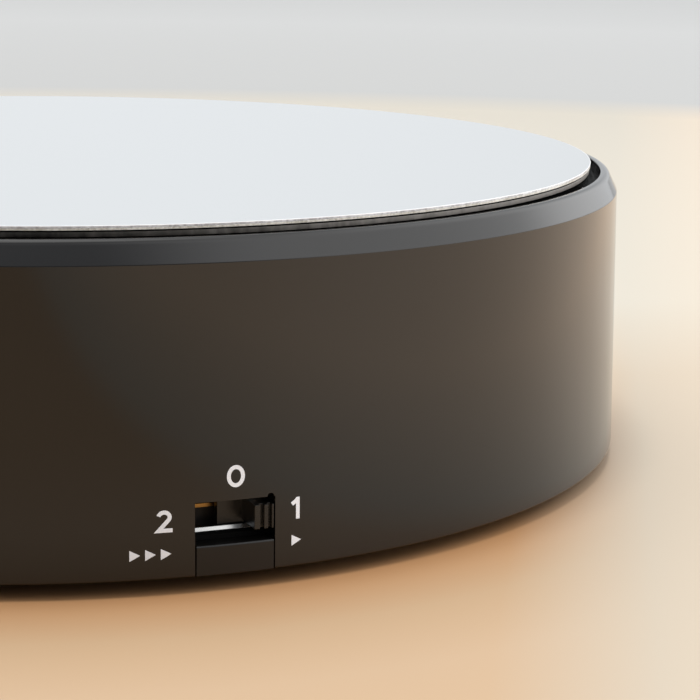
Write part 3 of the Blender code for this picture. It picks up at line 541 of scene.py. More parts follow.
def laminate_material():
    """Dark paper laminate: woven fibres and a dull surface."""
    look = new_material("switch_laminate", (0.020, 0.013, 0.009), 0.6)
    fibres = grain(look, 1800, 4, (1, 0.15, 0.15))
    dark, light = (0.012, 0.008, 0.005), (0.028, 0.018, 0.012)
    plug(look, "Base Color", ramp(look, fibres, ((0.3, dark), (0.7, light))))
    plug(look, "Roughness", remap(look, fibres, NOISE, (0.5, 0.7)))
    return look


def make_looks():
    """A finish for each material slot of the CAD part, and a near-black one that paints the shade on the
    rib's crest.
    """
    return {
        "casing_black": moulded_plastic("casing_plastic", (0.0045, 0.0040, 0.0038), 0.10, 0.012, 0.004,
                                        lint=True),
        "base_black": moulded_plastic("base_plastic", (0.0028, 0.0025, 0.0023), 0.34, 0.04, 0.012,
                                      ior=1.45),
        # Near-black, dull and barely reflective: painted shade for the rib's crest behind the tab.
        "shadow_black": moulded_plastic("rib_plastic", (0.0020, 0.0019, 0.0018), 0.80, 0.05, 0.012,
                                        ior=1.2),
        "platter_black": moulded_plastic("platter_plastic", (0.012, 0.012, 0.012), 0.16, 0.03, 0.004),
        "mirror": mirror_material(),
        "rubber": rubber("foot_rubber", (0.020, 0.020, 0.020)),
        "steel": metal("bright_steel", (0.60, 0.59, 0.57), 0.24, (0.15, 1, 1)),
        "zinc": metal("zinc_plate", (0.66, 0.65, 0.62), 0.30),
        "brass": metal("brass_strip", (0.42, 0.24, 0.075), 0.30, (0.15, 1, 1)),
        "nylon": moulded_plastic("gear_nylon", (0.78, 0.76, 0.70), 0.42, 0.06, 0.015),
        "acetal": moulded_plastic("acetal_white", (0.70, 0.70, 0.68), 0.36, 0.06, 0.01),
        "knob_black": moulded_plastic("knob_plastic", (0.006, 0.0055, 0.005), 0.26, 0.05, 0.006),
        "phenolic": laminate_material(),
        "cell_sleeve": sleeve_material(),
        "resistor_body": resistor_material(),
        "wire_red": moulded_plastic("red_insulation", (0.42, 0.025, 0.018), 0.38, 0.05, 0.01),
        "wire_black": moulded_plastic("black_insulation", (0.016, 0.016, 0.017), 0.38, 0.05, 0.01),
    }


LOOKS = make_looks()


def dress_cad_nodes():
    """Every CAD node takes the finish of its slot; replaced nodes are hidden later."""
    for part in frame["record"]["subparts"]:
        node = frame["nodes"][part["node"]]
        node.data.materials.clear()
        node.data.materials.append(LOOKS[part["material_slot"]])
        node.data.shade_smooth()
        node.data.set_sharp_from_angle(angle=SMOOTH_ANGLE)


# ---- casing and base

def make_casing():
    inner_top = skirt_radius(DECK[0]) - WALL
    corners = [
        (RIM_RADIUS, RIM_HEIGHT, 1.2), (CREASE_RADIUS, CREASE_HEIGHT, 0.35),
        (SKIRT_RADIUS, SKIRT_BOTTOM, 0.35), (SKIRT_RADIUS - WALL, SKIRT_BOTTOM, 0.25),
        (inner_top, DECK[0], 0.8), (BUSH_HOLE, DECK[0], 0.3), (BUSH_HOLE, DECK[1], 0.3),
        (WELL_RADIUS, DECK[1], 0.6), (WELL_RADIUS, RIM_HEIGHT, 0.2)]
    casing = add_piece("casing_shell", turned(round_off(corners), ROUND_STEPS), "base",
                       LOOKS["casing_black"], ("upper_casing",))

    additions = bmesh.new()
    for number in FOUR:
        for screw, (radius, foot) in (("case_screw", CASE_POST), ("gearbox_screw", GEARBOX_POST)):
            add_rod(additions, radius, (foot, INTO_DECK), middle_of(f"{screw}_{number}"), 32)
    for x in EAR_X:
        add_box(additions, span(x, 2.5), (depth(1.6), depth(FRAME_FACE - 0.3)), (5.5, 12.0))
    combine(casing, additions, "UNION")

    through_wall = (depth(-1), depth(WALL + 1))
    cuts = bmesh.new()
    add_box(cuts, span(0, WINDOW_HALF_WIDTH), through_wall, (BELOW, WINDOW_TOP))
    for number in FOUR:
        for screw, (radius, heights) in (("case_screw", CASE_PILOT), ("gearbox_screw", GEARBOX_PILOT)):
            add_rod(cuts, radius, heights, middle_of(f"{screw}_{number}"), 16)
    for x in EAR_X:
        add_rod(cuts, 1.0, (depth(1.9), depth(FRAME_FACE)), sides=16, turn=along_y(x, KNOB_MIDDLE))
    combine(casing, cuts, "DIFFERENCE")
    nick = bmesh.new()
    add_rod(nick, NICK[1], through_wall, sides=32, turn=along_y(NICK[0], WINDOW_TOP))
    combine(casing, nick, "DIFFERENCE")

    pockets, grooves = bmesh.new(), bmesh.new()
    for angle in ROLLER_ANGLES:
        turn = Matrix.Rotation(math.radians(angle), 4, "Z")
        for bm, (reach, half), heights in ((pockets, ROLLER_POCKET, (DECK[0] - 1, DECK[1] + 1)),
                                           (grooves, AXLE_GROOVE, (GROOVE_FLOOR, DECK[1] + 2))):
            add_prism(bm, rectangle(reach, span(0, half)), heights, turn)
    combine(casing, pockets, "DIFFERENCE")
    combine(casing, grooves, "DIFFERENCE")
    ease_edges(casing, 0.12)


def window_tab(half, back):
    """Tab that fills the foot of the window, curved like the skirt, with a rounded upper edge."""
    steps = 16
    bm, sections = bmesh.new(), []
    for i in range(steps + 1):
        x = half * (2 * i / steps - 1)
        front = -math.sqrt((SKIRT_RADIUS - 0.02) ** 2 - x ** 2)
        outline = round_off([(back, SKIRT_BOTTOM, 0), (front, SKIRT_BOTTOM, 0.15), (front, TAB_TOP, 0.3),
                             (back, TAB_TOP, 0)], 6)
        sections.append([bm.verts.new(Vector((x, y, z)) * MM) for y, z in outline])
    bridge(bm, sections)
    return bm


def make_base():
    """Base plate with its screw wells, foot recesses, battery bay, tab and rib."""
    radius = BASE[1].x
    into_plate = PLATE_TOP - 0.5
    corners = [(radius, SKIRT_BOTTOM, 0.3), (radius, PLATE_TOP, 0.3), (0, PLATE_TOP, 0), (0, SKIRT_BOTTOM, 0)]
    base = add_piece("base_tray", turned(round_off(corners, 4), ROUND_STEPS), "base", LOOKS["base_black"],
                     ("base_plate",))
    bay_x = DOOR[1].x + BAY_GAP
    bay_y = (DOOR[0].y - BAY_GAP, BAY_BACK)
    additions = bmesh.new()
    add_box(additions, span(0, bay_x + BAY_WALL), (bay_y[0] - BAY_WALL, bay_y[1] + BAY_WALL),
            (into_plate, BAY_ROOF + BAY_WALL))
    for number in FOUR:
        add_rod(additions, SCREW_PAD[0], (into_plate, SCREW_PAD[1]), middle_of(f"case_screw_{number}"), 40)
    combine(base, additions, "UNION")

    rib_y = (depth(2.9), depth(FRAME_FACE - 0.3))
    combine(base, prism(rectangle(RIB_X, rib_y), (into_plate, TAB_TOP - 0.1)), "UNION")
    # The rib's crest is a separate near-black piece: painted shade where the rib lies in shadow behind the
    # tab.
    crest = prism(rectangle(RIB_X, rib_y), (TAB_TOP - 0.08, RIB_TOP))
    add_piece("base_rib_crest", crest, "base", LOOKS["shadow_black"])
    combine(base, window_tab(WINDOW_HALF_WIDTH - 0.2, 0.6 - radius), "UNION")

    cuts = bmesh.new()
    add_box(cuts, span(0, bay_x), bay_y, (BELOW, BAY_ROOF))
    well = [(0, 9.0), (1.6, 9.0), (1.6, 6.0), (3.6, 6.0), (3.6, 1.6), (4.2, BELOW), (0, BELOW)]
    for number in FOUR:
        add_turned(cuts, well, 40, middle_of(f"case_screw_{number}"))
        low, high = box_mm(f"foot_{number}")
        add_rod(cuts, (high.x - low.x) / 2 + 0.3, (BELOW, high.z + 0.3), (low + high) / 2, 64)
    combine(base, cuts, "DIFFERENCE")
    hollows = bmesh.new()
    for side in (-1, 1):
        add_box(hollows, span(side * TONGUE_PLACE, 2.7), (bay_y[1] - 1, bay_y[1] + 1.1), (PLATE_TOP, 5.6))
    add_box(hollows, (-7, 7), (bay_y[0] - 6, bay_y[0] + 1), (BELOW, SKIRT_BOTTOM + 1.2))
    combine(base, hollows, "DIFFERENCE")
    ease_edges(base, 0.12)


def make_feet():
    """Rubber pads with a rolled edge and a shallow dish underneath."""
    for number in FOUR:
        low, high = box_mm(f"foot_{number}")
        middle, radius = (low + high) / 2, (high.x - low.x) / 2
        corners = [(0, high.z, 0), (0, low.z + 0.25, 0), (radius * 0.55, low.z + 0.25, 0.3),
                   (radius * 0.68, low.z, 0.3), (radius, low.z, 0.55), (radius, high.z, 0.25)]
        add_piece(f"foot_pad_{number}", turned(round_off(corners, 6), 64, middle), "base", LOOKS["rubber"],
                  (f"foot_{number}",))


def screw_mesh(head, tip, head_radius, shank_radius):
    """Domed head from head[0] (its face) to head[1], and a threaded shank to `tip`."""
    way = 1 if tip > head[1] else -1
    pitch, thread = 0.8, 0.18
    root = shank_radius - thread
    dome_steps, dome_height, dome_width = 8, 0.55, 1.0
    outline = [(0, head[0])]
    for i in range(dome_steps + 1):
        angle = math.radians(90 * i / dome_steps)
        height = head[0] + way * dome_height * (1 - math.cos(angle))
        outline.append((head_radius - dome_width + dome_width * math.sin(angle), height))
    outline += [(head_radius, head[1]), (shank_radius, head[1])]
    at = head[1] + way * pitch
    while way * (tip - at) > 2 * pitch:
        outline += [(root, at), (shank_radius, at + way * pitch * 0.35), (root, at + way * pitch * 0.7)]
        at += way * pitch
    outline += [(shank_radius * 0.35, tip), (0, tip)]
    return turned(outline, 48)


def cross_cutter(face, way, reach):
    """Cross recess in the head of a screw."""
    half, deep = 0.275, 1.1
    outline = [(-reach, -half), (-half, -half), (-half, -reach), (half, -reach), (half, -half),
               (reach, -half), (reach, half), (half, half), (half, reach), (-half, reach), (-half, half),
               (-reach, half)]
    return prism(outline, sorted((face - way * 0.5, face + way * deep)))


def make_screw(node, head_height, shank_radius, body="base", head_up=False, lying=False):
    """Stand-in for a CAD screw, placed from its box; it stands on Z, or lies on Y if asked."""
    low, high = box_mm(node)
    middle = (low + high) / 2
    if lying:
        matrix = along_y(middle.x, middle.z)
        start, end = low.y, high.y
    else:
        matrix = Matrix.Translation(Vector((middle.x, middle.y, 0)) * MM)
        start, end = low.z, high.z
    if head_up:
        start, end = end, start
    way = 1 if end > start else -1
    head_radius = (high.x - low.x) / 2
    bm = screw_mesh((start, start + way * head_height), end, head_radius, shank_radius)
    screw = add_piece(f"{node}_fine", bm, body, LOOKS["zinc"], (node,), matrix)
    combine(screw, cross_cutter(start, way, head_radius * 0.58), "DIFFERENCE")


def make_screws():
    for number in FOUR:
        make_screw(f"case_screw_{number}", 2.0, 1.2)
        make_screw(f"gearbox_screw_{number}", 1.6, 0.9)
    make_screw("hub_screw", 0.8, 1.2, "turntable", head_up=True)
    for number in (1, 2):
        make_screw(f"switch_screw_{number}", 1.2, 0.7, head_up=True, lying=True)


# ---- battery bay

def make_cells():
    """AA cells, Z along each cell, with a crimped shoulder, a nub and a dished base."""
    corners = [(0, CELL_LENGTH, 0), (2.6, CELL_LENGTH, 0.4), (2.6, 49.6, 0.3), (4.6, 49.5, 0.2),
               (6.6, 49.9, 0.3), (7.25, 49.2, 0.6), (7.25, 0.2, 0.6), (6.3, 0.0, 0.2), (4.0, 0.25, 0.3),
               (0, 0.25, 0)]
    for number in THREE:
        low, high = box_mm(f"cell_{number}")
        middle = (low + high) / 2
        forward = number == TURNED_CELL
        start = high.y if forward else low.y
        turn = Matrix.Rotation(math.radians(90 if forward else -90), 4, "X")
        matrix = Matrix.Translation(Vector((middle.x, start, middle.z)) * MM) @ turn
        add_piece(f"aa_cell_{number}", turned(round_off(corners, 4), 72), "base", LOOKS["cell_sleeve"],
                  (f"cell_{number}",), matrix)


def make_springs():
    """Conical contact springs, one closed end turn on the plate and an open helix to the cell."""
    turns, flat_turns, points_per_turn = 3.5, 0.8, 28       # the flat part lies on the plate
    narrowing, wire = 1.7, 0.35             # of the helix from plate to cell, and the wire's radius
    for number in THREE:
        low, high = box_mm(f"battery_spring_{number}")
        start, end = low.y + wire, high.y - wire
        if number == TURNED_CELL:
            start, end = end, start
        middle = Vector(((low.x + high.x) / 2, 0, (low.z + high.z) / 2))
        wide = min(high.x - low.x, high.z - low.z) / 2 - wire
        curve = bpy.data.curves.new(f"contact_spring_{number}", "CURVE")
        curve.dimensions = "3D"
        curve.bevel_depth = wire * MM
        curve.bevel_resolution = 4
        curve.use_fill_caps = True
        spline = curve.splines.new("POLY")
        count = int(turns * points_per_turn)
        spline.points.add(count)
        for i, point in enumerate(spline.points):
            share = i / count
            angle = 2 * math.pi * turns * share
            radius = wide - narrowing * share
            climb = max(0.0, share * turns - flat_turns) / (turns - flat_turns)
            along = start + (end - start) * climb
            place = middle + Vector((radius * math.cos(angle), along, radius * math.sin(angle)))
            point.co = (*(place * MM), 1.0)
        curve.materials.append(LOOKS["steel"])
        piece = new_object(curve.name, curve)
        piece.location = DATUM * MM
        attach(piece, "base")
        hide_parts(f"battery_spring_{number}")


def make_door():
    """Bay door: a grip of raised ridges by the snap latch, and two tongues at the back."""
    low, high = DOOR
    front, back = low.y, 82.1
    plate = (low.z, 3.0)
    through = (plate[0] - 1, plate[1] + 1)
    corners = [(low.x, front, 0.6), (high.x, front, 0.6), (high.x, back, 0.2), (low.x, back, 0.2)]
    door = add_piece("bay_door_panel", prism(round_off(corners, 4), plate), "bay_door",
                     LOOKS["base_black"], ("battery_door",))

    tongues = bmesh.new()
    shape = [(80.0, 2.5), (82.0, 2.5), (82.0, 3.6), (83.2, 3.6), (83.2, high.z), (80.0, high.z)]
    for side in (-1, 1):
        add_prism(tongues, shape, span(side * TONGUE_PLACE, 2.3), ALONG_X)
    combine(door, tongues, "UNION")
    outer, inner = 9.0, 8.2                 # half widths of the slit that frees the latch
    slit = [(-outer, front + 9), (-inner, front + 9), (-inner, front + 1.5), (inner, front + 1.5),
            (inner, front + 9), (outer, front + 9), (outer, front + 0.7), (-outer, front + 0.7)]
    combine(door, prism(slit, through), "DIFFERENCE")
    grooves = bmesh.new()
    for i in range(6):
        y = front + 2.6 + 1.1 * i
        add_box(grooves, span(0, 6.4), span(y, 0.28), (through[0], plate[0] + 0.35))
    combine(door, grooves, "DIFFERENCE")
    ease_edges(door, 0.1)


# ---- switch

def make_switch_frame():
    """Steel shell bent from one sheet: rounded bends, screw ears, and a slot with a rolled edge."""
    low, high = SWITCH_FRAME
    front, inside, back = depth(FRAME_FACE), depth(FRAME_FACE + SHEET), high.y
    x_low, x_high = EAR_X[0] + EAR_REACH, EAR_X[1] - EAR_REACH
    bend, inner, cut_edge = 0.75, 0.2, 0.05
    corners = [(front, low.z, bend), (back, low.z, cut_edge), (back, low.z + SHEET, cut_edge),
               (inside, low.z + SHEET, inner), (inside, high.z - SHEET, inner),
               (back, high.z - SHEET, cut_edge), (back, high.z, cut_edge), (front, high.z, bend)]
    shell = add_piece("switch_shell", prism(round_off(corners, 6), (x_low, x_high), ALONG_X), "base",
                      LOOKS["steel"], ("switch_frame",))
    ears = bmesh.new()
    for x, root in ((EAR_X[0], x_low + 1), (EAR_X[1], x_high - 1)):
        outer = x - EAR_REACH if root > x else x + EAR_REACH
        corners = [(outer, KNOB_MIDDLE - 2.8, 1.2), (outer, KNOB_MIDDLE + 2.8, 1.2),
                   (root, KNOB_MIDDLE + 2.8, 0), (root, KNOB_MIDDLE - 2.8, 0)]
        add_prism(ears, [(px, -pz) for px, pz in round_off(corners, 6)], (front, inside), ALONG_Y)
    combine(shell, ears, "UNION")
    through = (depth(FRAME_FACE - 1), depth(FRAME_FACE + SHEET + 1))
    corners = [(SLOT_X[0], LIP_FOOT, 0), (SLOT_X[1], LIP_FOOT, 0), (SLOT_X[1], SLOT_Z[1], 0.3),
               (SLOT_X[0], SLOT_Z[1], 0.3)]
    cuts = prism([(px, -pz) for px, pz in round_off(corners, 5)], through, ALONG_Y)
    for x in EAR_X:
        add_rod(cuts, 1.1, through, sides=28, turn=along_y(x, KNOB_MIDDLE))
    combine(shell, cuts, "DIFFERENCE")
    crest = SLOT_Z[0] - 0.05
    near = depth(FRAME_FACE + 0.02)
    corners = [(near, LIP_FOOT - 0.2, 0), (inside, LIP_FOOT - 0.2, 0), (inside, crest, 0.15),
               (depth(FRAME_FACE + 0.3), crest, 0.15), (near, LIP_FOOT, 0.1)]
    lip = prism(round_off(corners, 5), (SLOT_X[0] - 0.2, SLOT_X[1] + 0.2), ALONG_X)
    combine(shell, lip, "UNION")
    ease_edges(shell, 0.12, 3)


def make_slider():
    """Carriage with the ribbed knob: three upright ribs with rounded faces and soft ends."""
    carriage = (FRAME_FACE + SHEET + 0.3, FRAME_FACE + SHEET + 1.5)
    low, high = SLIDER
    bm = prism(rectangle((low.x, high.x), (depth(carriage[0]), depth(carriage[1]))), (low.z, high.z))
    slider = add_piece("switch_knob_ribbed", bm, "switch_knob", LOOKS["knob_black"], ("switch_slider",))
    root = carriage[0] + 0.5
    corners = []
    for left, right in KNOB_RIBS:
        start, end = KNOB_X + left, KNOB_X + right
        corners += [(start, KNOB_FACE + KNOB_RIB_DEPTH, 0.04), (start, KNOB_FACE, 0.09),
                    (end, KNOB_FACE, 0.09), (end, KNOB_FACE + KNOB_RIB_DEPTH, 0.04)]
    corners = [(corners[0][0], root, 0), *corners[1:-1], (corners[-1][0], root, 0)]
    outline = [(x, depth(inward)) for x, inward in round_off(corners, 5)]
    combine(slider, prism(outline, span(KNOB_MIDDLE, KNOB_HALF_HEIGHT)), "UNION")
    ease_edges(slider, 0.07)


# ---- platter and mirror

def flange_material():
    """Greige flange of the platter, with painted light that makes it lighter towards +X and painted shade
    that makes it darker towards -X, and streaks that run round it.
    """
    look = new_material("platter_flange", (0.14, 0.125, 0.11), 0.42)
    side = add_node(look, "ShaderNodeSeparateXYZ", Vector=coordinates(look)).outputs["X"]
    # Painted light and shade: lighter on the +X side, where light falls, and darker on the -X side.
    painted_light_side = remap(look, side, (-0.035, 0.040), (0, 1))
    streaks = grain(look, 700, 4, (1, 1, 0.4))
    painted_light_and_streaks = calculate(look, "ADD", painted_light_side, remap(look, streaks, NOISE, (-0.25, 0.25)))
    dark, middle, light = (0.014, 0.012, 0.010), (0.08, 0.072, 0.062), (0.24, 0.22, 0.20)
    plug(look, "Base Color", ramp(look, painted_light_and_streaks, ((0.0, dark), (0.45, middle), (1.0, light))))
    plug(look, "Roughness", remap(look, streaks, NOISE, (0.34, 0.50)))
    return look


def paint_side(piece, look, heights, beyond):
    """Give the upright faces between two heights, outside a radius, another finish."""
    piece.data.materials.append(look)
    for face in piece.data.polygons:
        upright = abs(face.normal.z) < 0.98
        outside = math.hypot(face.center.x, face.center.y) > beyond * MM
        if upright and outside and heights[0] * MM < face.center.z < heights[1] * MM:
            face.material_index = len(piece.data.materials) - 1


def make_platter():
    """Platter with a flange, whose edge shows as a band below the mirror."""
    top, radius = DISC_TOP - SHEET_THICK - BOARD_THICK - FILM_THICK, PLATTER[1].x
    flange_foot = top - FLANGE_THICK
    wall = 93.2
    foot, under = 43.6, 45.6                # of the wall and the hub, and of the web between them
    track, track_radii = 45.0, (76.0, 84.0)
    corners = [
        (3.4, top, 0.1), (radius, top, 0.03), (radius, flange_foot, 0.10), (wall, flange_foot - 0.1, 0.05),
        (wall, foot, 0.3), (wall - 2, foot, 0.3), (wall - 2, under, 0.4), (track_radii[1], under, 0.3),
        (track_radii[1], track, 0.2), (track_radii[0], track, 0.2), (track_radii[0], under, 0.3),
        (9.0, under, 0.5), (9.0, foot, 0.2), (3.3, foot, 0.2), (3.3, 45.3, 0), (1.6, 45.3, 0),
        (1.6, 46.6, 0), (3.4, 46.6, 0.1)]
    platter = add_piece("platter_plate", turned(round_off(corners, 4), ROUND_STEPS), "turntable",
                        LOOKS["platter_black"], ("platter",))
    # The flange's side takes painted light and shade from flange_material.
    paint_side(platter, flange_material(), (flange_foot - 0.01, top + 0.01), wall + 0.3)


def roughen_side(bm, radius, below, spread):
    """Make a sawn side a little ragged: its points move in and out, never past the radius."""
    for vert in bm.verts:
        reach = math.hypot(vert.co.x, vert.co.y) / MM
        if reach > radius - 0.08 and vert.co.z < below * MM:
            angle = math.atan2(vert.co.y, vert.co.x)
            wave = math.sin(angle * 311) * math.sin(angle * 97 + 1.3) + 0.6 * math.sin(angle * 173 + 0.4)
            vert.co.xy *= 1 - spread * (1 + wave) / reach


def add_layer(name, radius, heights, edge, steps, look):
    """One round layer under the mirror sheet, with rounded edges."""
    bottom, top = heights
    corners = [(0, top, 0), (radius, top, edge), (radius, bottom, edge), (0, bottom, 0)]
    add_piece(name, turned(round_off(corners, 3), steps), "turntable", look)


def make_disc():
    """Mirror sheet on a board: painted highlight on the eased edge, ragged sawn side, beige board, dark glue
    line.
    """
    top, radius = DISC_TOP, DISC[1].x
    seam, bevel = 0.01, 0.08
    sheet_bottom = top - SHEET_THICK + seam
    board = (top - SHEET_THICK - BOARD_THICK, top - SHEET_THICK)
    film = (board[0] - FILM_THICK + seam, board[0] - seam)
    sheet_mesh = turned([(0, top), (radius - 0.5, top), (radius - 0.10, top), (radius - 0.03, top - 0.02),
                         (radius, top - bevel), (radius - 0.01, (top + sheet_bottom) / 2),
                         (radius - 0.03, sheet_bottom), (0, sheet_bottom)], DISC_STEPS)
    roughen_side(sheet_mesh, radius, top - 0.05, 0.016)
    sheet = add_piece("mirror_sheet", sheet_mesh, "turntable", LOOKS["mirror"], ("mirror_disc",))
    sawn = edge_material("mirror_sawn_edge", (0.92, 0.93, 0.96), (0.50, 0.49, 0.51), 0.30)
    paint_side(sheet, sawn, (sheet_bottom - 0.01, top - bevel), radius - 1)
    # Painted highlight: the eased edge gets a near-white finish in place of the mirror's own reflection.
    painted_bevel_highlight = edge_material("mirror_polished_bevel", (0.95, 0.95, 0.96), (0.85, 0.86, 0.88), 0.25)
    paint_side(sheet, painted_bevel_highlight, (top - bevel, top - 0.005), radius - 1)
    backing = edge_material("backing_board", (0.92, 0.90, 0.84), (0.55, 0.52, 0.45), 0.55, 2200)
    add_layer("disc_backing", radius - 0.06, board, 0.04, DISC_STEPS, backing)
    glue = moulded_plastic("glue_film", (0.002, 0.002, 0.002), 0.9, ior=1.1)
    add_layer("glue_film", radius - 0.25, film, 0.03, DISC_STEPS // 2, glue)


# ---- printed marks

PRINT_HEIGHT = 3.1
PRINT_STROKE = 0.56
PRINT_THICK = 0.03


def arc(center, radius, start, end, steps=20):
    """Points of an elliptical arc; `radius` is (across, up), and the angles are degrees."""
    points = []
    for i in range(steps + 1):
        angle = math.radians(start + (end - start) * i / steps)
        points.append(Vector((center[0] + radius[0] * math.cos(angle),
                              center[1] + radius[1] * math.sin(angle))))
    return points


def stroke_sides(path, width):
    """Pairs of points left and right of a line of this width, with mitred corners and square ends."""
    pairs = []
    for i, here in enumerate(path):
        ahead = path[min(i + 1, len(path) - 1)] - here
        behind = here - path[max(i - 1, 0)]
        ahead = ahead.normalized() if ahead.length else behind.normalized()
        behind = behind.normalized() if behind.length else ahead
        side = Vector((-(ahead + behind).y, (ahead + behind).x)).normalized()
        stretch = 1 / max(0.35, side.dot(Vector((-ahead.y, ahead.x))))
        pairs.append((here + side * width / 2 * stretch, here - side * width / 2 * stretch))
    return pairs


# Each digit is a list of strokes: a path, and whether it is closed.

def digit_zero():
    across, up = 1.02, (PRINT_HEIGHT - PRINT_STROKE) / 2
    return [(arc((across + PRINT_STROKE / 2, PRINT_HEIGHT / 2), (across, up), 0, 360, 56), True)]


def digit_one():
    x = 0.95
    flag = [Vector((0.05, PRINT_HEIGHT - 0.95)), Vector((x * 0.55, PRINT_HEIGHT - 0.62)),
            Vector((x, PRINT_HEIGHT - 0.28))]
    stem = [Vector((x, PRINT_HEIGHT)), Vector((x, PRINT_HEIGHT / 2)), Vector((x, 0))]
    return [(flag, False), (stem, False)]


def digit_two():
    inset = PRINT_STROKE / 2
    bowl = arc((inset + 0.78, PRINT_HEIGHT - inset - 0.68), (0.78, 0.68), 165, -38, 26)
    foot = Vector((inset + 0.02, inset))
    return [(bowl + [bowl[-1].lerp(foot, 0.5), foot, Vector((2.25, inset))], False)]


def add_strip(bm, pairs, closed, at):
    """Thin printed film along pairs of points, wrapped on the skirt."""
    def wrapped(point, lift):
        x, z = at[0] + point.x, at[1] + point.y
        radius = skirt_radius(z) + lift
        angle = x / SKIRT_RADIUS
        return Vector((radius * math.sin(angle), -radius * math.cos(angle), z)) * MM

    sections = []
    for a, b in pairs:
        corners = ((a, PRINT_THICK), (b, PRINT_THICK), (b, 0.0), (a, 0.0))
        sections.append([bm.verts.new(wrapped(point, lift)) for point, lift in corners])
    bridge(bm, sections, closed)


def print_digit(name, strokes, at, look):
    bm = bmesh.new()
    for path, closed in strokes:
        pairs = stroke_sides(path, PRINT_STROKE)
        add_strip(bm, pairs[:-1] if closed else pairs, closed, at)
    add_piece(name, bm, "base", look)


def print_triangles(name, count, at, look):
    """A row of triangles that point right, each with a slightly blunt tip."""
    size, pitch, rows = 1.55, 2.15, 6
    low, tip, high = Vector((0, 0)), Vector((size * 0.95, size / 2)), Vector((0, size))
    bm = bmesh.new()
    for i in range(count):
        shares = [row / rows * 0.97 for row in range(rows + 1)]
        pairs = [(high.lerp(tip, share), low.lerp(tip, share)) for share in shares]
        add_strip(bm, pairs, False, (at[0] + i * pitch, at[1]))
    add_piece(name, bm, "base", look)


def make_marks():
    """Plain numbers and triangles beside the three places of the switch, instead of words."""
    ink = moulded_plastic("white_print", (0.76, 0.80, 0.86), 0.45, 0.05, 0.004)
    print_digit("mark_0", digit_zero(), (-1.3, 13.4), ink)
    print_digit("mark_2", digit_two(), (-11.2, 7.8), ink)
    print_triangles("mark_2_triangles", 3, (-14.9, 4.0), ink)
    print_digit("mark_1", digit_one(), (8.3, 8.0), ink)
    print_triangles("mark_1_triangle", 1, (8.3, 4.2), ink)


# ---- camera, floor and light

def add_camera():
    heading, azimuth = math.radians(CAMERA_YAW - CAMERA_AZIMUTH), math.radians(CAMERA_AZIMUTH)
    pitch, roll = math.radians(CAMERA_PITCH), math.radians(CAMERA_ROLL)
    level = math.cos(pitch)
    ahead = Vector((math.sin(heading) * level, math.cos(heading) * level, -math.sin(pitch)))
    right = ahead.cross(Vector((0, 0, 1))).normalized()
    up = right.cross(ahead)
    right, up = math.cos(roll) * right + math.sin(roll) * up, math.cos(roll) * up - math.sin(roll) * right
    place = Vector((CAMERA_DISTANCE * math.sin(azimuth), -CAMERA_DISTANCE * math.cos(azimuth), CAMERA_HEIGHT))
    place = (place + DATUM) * MM
    data = bpy.data.cameras.new("camera")
    data.lens = LENS
    data.sensor_width = 36.0
    data.clip_start = 0.01
    camera = new_object("camera", data)
    camera.matrix_world = Matrix((
        (right.x, up.x, -ahead.x, place.x), (right.y, up.y, -ahead.y, place.y),
        (right.z, up.z, -ahead.z, place.z), (0, 0, 0, 1)))
    bpy.context.scene.camera = camera


def toward_side(look, where, axis, start, end):
    """Mask from 0 to 1 along a direction over the floor, between two distances in metres."""
    along = operate(look, "ShaderNodeVectorMath", "DOT_PRODUCT", where, axis)
    return remap(look, along.outputs["Value"], (start, end), (0, 1))


def floor_material():
    """Warm pale surface with painted light and shade: deeper close to the object with painted shade, paler to
    the right and behind with painted glare and sheen, a painted pool of window light far to the right; it
    turns pale grey well behind it.
    """
    look = new_material("pale_floor", (0.45, 0.31, 0.19), 0.45, ior=1.33)
    where = add_node(look, "ShaderNodeTexCoord").outputs["Object"]
    reach = operate(look, "ShaderNodeVectorMath", "LENGTH", where).outputs["Value"]
    # Painted shade: the colour is darker and deeper close to the object, where its shadow falls.
    warm = ramp(look, remap(look, reach, (0.10, 0.20), (0, 1)), (
        (0.01, (0.42, 0.225, 0.105)), (0.17, (0.45, 0.305, 0.185)), (0.20, (0.455, 0.31, 0.19)),
        (0.36, (0.475, 0.335, 0.218)), (1.0, (0.44, 0.30, 0.18))))
    # Painted glare on the right and painted sheen behind: the floor is bleached paler there.
    right = toward_side(look, where, (0.875, -0.485, 0), 0.085, 0.106)
    behind = toward_side(look, where, (0.30, 0.95, 0), 0.04, 0.12)
    # Painted pool of window light on the floor, far to the right.
    painted_window_light = toward_side(look, where, (1.0, -0.55, 0), 0.12, 0.26)
    pale = blend_colors(look, right, warm, (0.455, 0.385, 0.30))
    pale = blend_colors(look, behind, pale, (0.49, 0.45, 0.38))
    pale = blend_colors(look, painted_window_light, pale, (0.76, 0.57, 0.40))
    distance = remap(look, reach, (0.66, 1.3), (0, 1))
    backdrop = blend_colors(look, distance, (0.41, 0.41, 0.405), (0.51, 0.51, 0.505))
    far = remap(look, reach, (0.62, 0.70), (0, 1))
    plug(look, "Base Color", blend_colors(look, far, pale, backdrop))
    plug(look, "Roughness", remap(look, far, (0, 1), (0.45, 0.85)))
    return look


def add_floor():
    bm = bmesh.new()
    bmesh.ops.create_grid(bm, x_segments=1, y_segments=1, size=6.0)
    mesh = finish_mesh("floor", bm)
    floor = new_object("floor", mesh)
    mesh.materials.append(floor_material())


def add_light(name, place, aim, power):
    data = bpy.data.lights.new(name, "AREA")
    data.shape = "DISK"
    data.size = 0.5
    data.energy = power
    data.color = (1.0, 0.99, 0.97)
    light = new_object(name, data)
    light.location = place
    light.rotation_euler = (Vector(aim) - Vector(place)).to_track_quat("-Z", "Y").to_euler()
    light.visible_glossy = False
    light.visible_camera = False


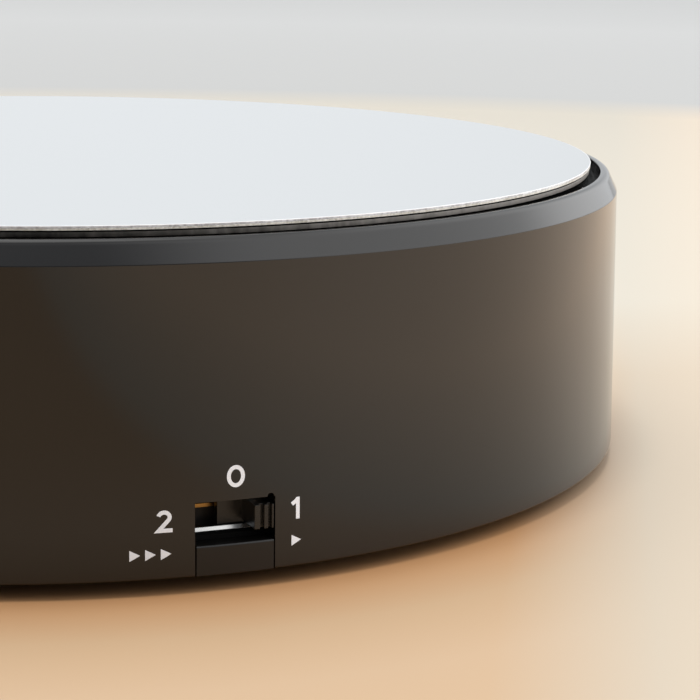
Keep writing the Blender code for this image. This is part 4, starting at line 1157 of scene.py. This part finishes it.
# Direction, angles in degrees where the glow is full and where it ends, brightness, colour.
GLOWS = (
    ((0.85, -0.25, 0.45), 20, 65, 1.60, (1.0, 1.0, 1.0)),       # wide soft window on the right
    ((0.87, 0.45, 0.10), 10, 30, 0.60, (1.0, 1.0, 1.0)),        # its low end, behind on the right
    ((-0.15, 0.34, 0.93), 12, 33, 1.50, (1.0, 0.99, 0.97)),     # key panel, high and a little behind
    ((0.09, 0.98, 0.12), 5, 62, 0.39, (0.97, 1.0, 1.02)),       # pale wall behind
    ((-0.10, -0.72, 0.69), 14, 42, 0.40, (0.98, 1.0, 1.05)),    # soft fill above the camera
    ((-0.25, -0.97, -0.10), 30, 68, -0.40, (1.0, 1.0, 1.0)),    # unlit side of the room, low in front
)
SURROUND = (0.44, 0.455, 0.47)


def add_world():
    """Pale studio surround with soft glows on the right, overhead and behind, and an unlit side."""
    world = bpy.data.worlds.new("studio")
    bpy.context.scene.world = world
    world.use_nodes = True
    toward = add_node(world, "ShaderNodeTexCoord").outputs["Generated"]
    total = SURROUND
    for axis, inner, outer, power, color in GLOWS:
        facing = operate(world, "ShaderNodeVectorMath", "DOT_PRODUCT", toward, Vector(axis).normalized())
        fade = add_node(world, "ShaderNodeMapRange", {"interpolation_type": "SMOOTHSTEP"},
                        Value=facing.outputs["Value"], From_Min=math.cos(math.radians(outer)),
                        From_Max=math.cos(math.radians(inner)), To_Max=power)
        tint = operate(world, "ShaderNodeVectorMath", "SCALE", color)
        feed(world, tint.inputs["Scale"], fade.outputs["Result"])
        both = operate(world, "ShaderNodeVectorMath", "ADD", total, tint.outputs["Vector"])
        total = both.outputs["Vector"]
    background = world.node_tree.nodes["Background"]
    feed(world, background.inputs["Color"], total)
    feed(world, background.inputs["Strength"], 1.0)


bpy.context.scene.view_settings.view_transform = "Standard"
add_camera()
add_floor()
add_world()
add_light("right_window", (0.95, -0.15, 0.55), (0.25, -0.05, 0), 1.8)
add_light("overhead_key", (-0.05, -0.12, 1.45), (0, 0, 0), 13.0)
dress_cad_nodes()
make_casing()
make_base()
make_feet()
make_screws()
make_cells()
make_springs()
make_door()
make_switch_frame()
make_slider()
make_platter()
make_disc()
make_marks()
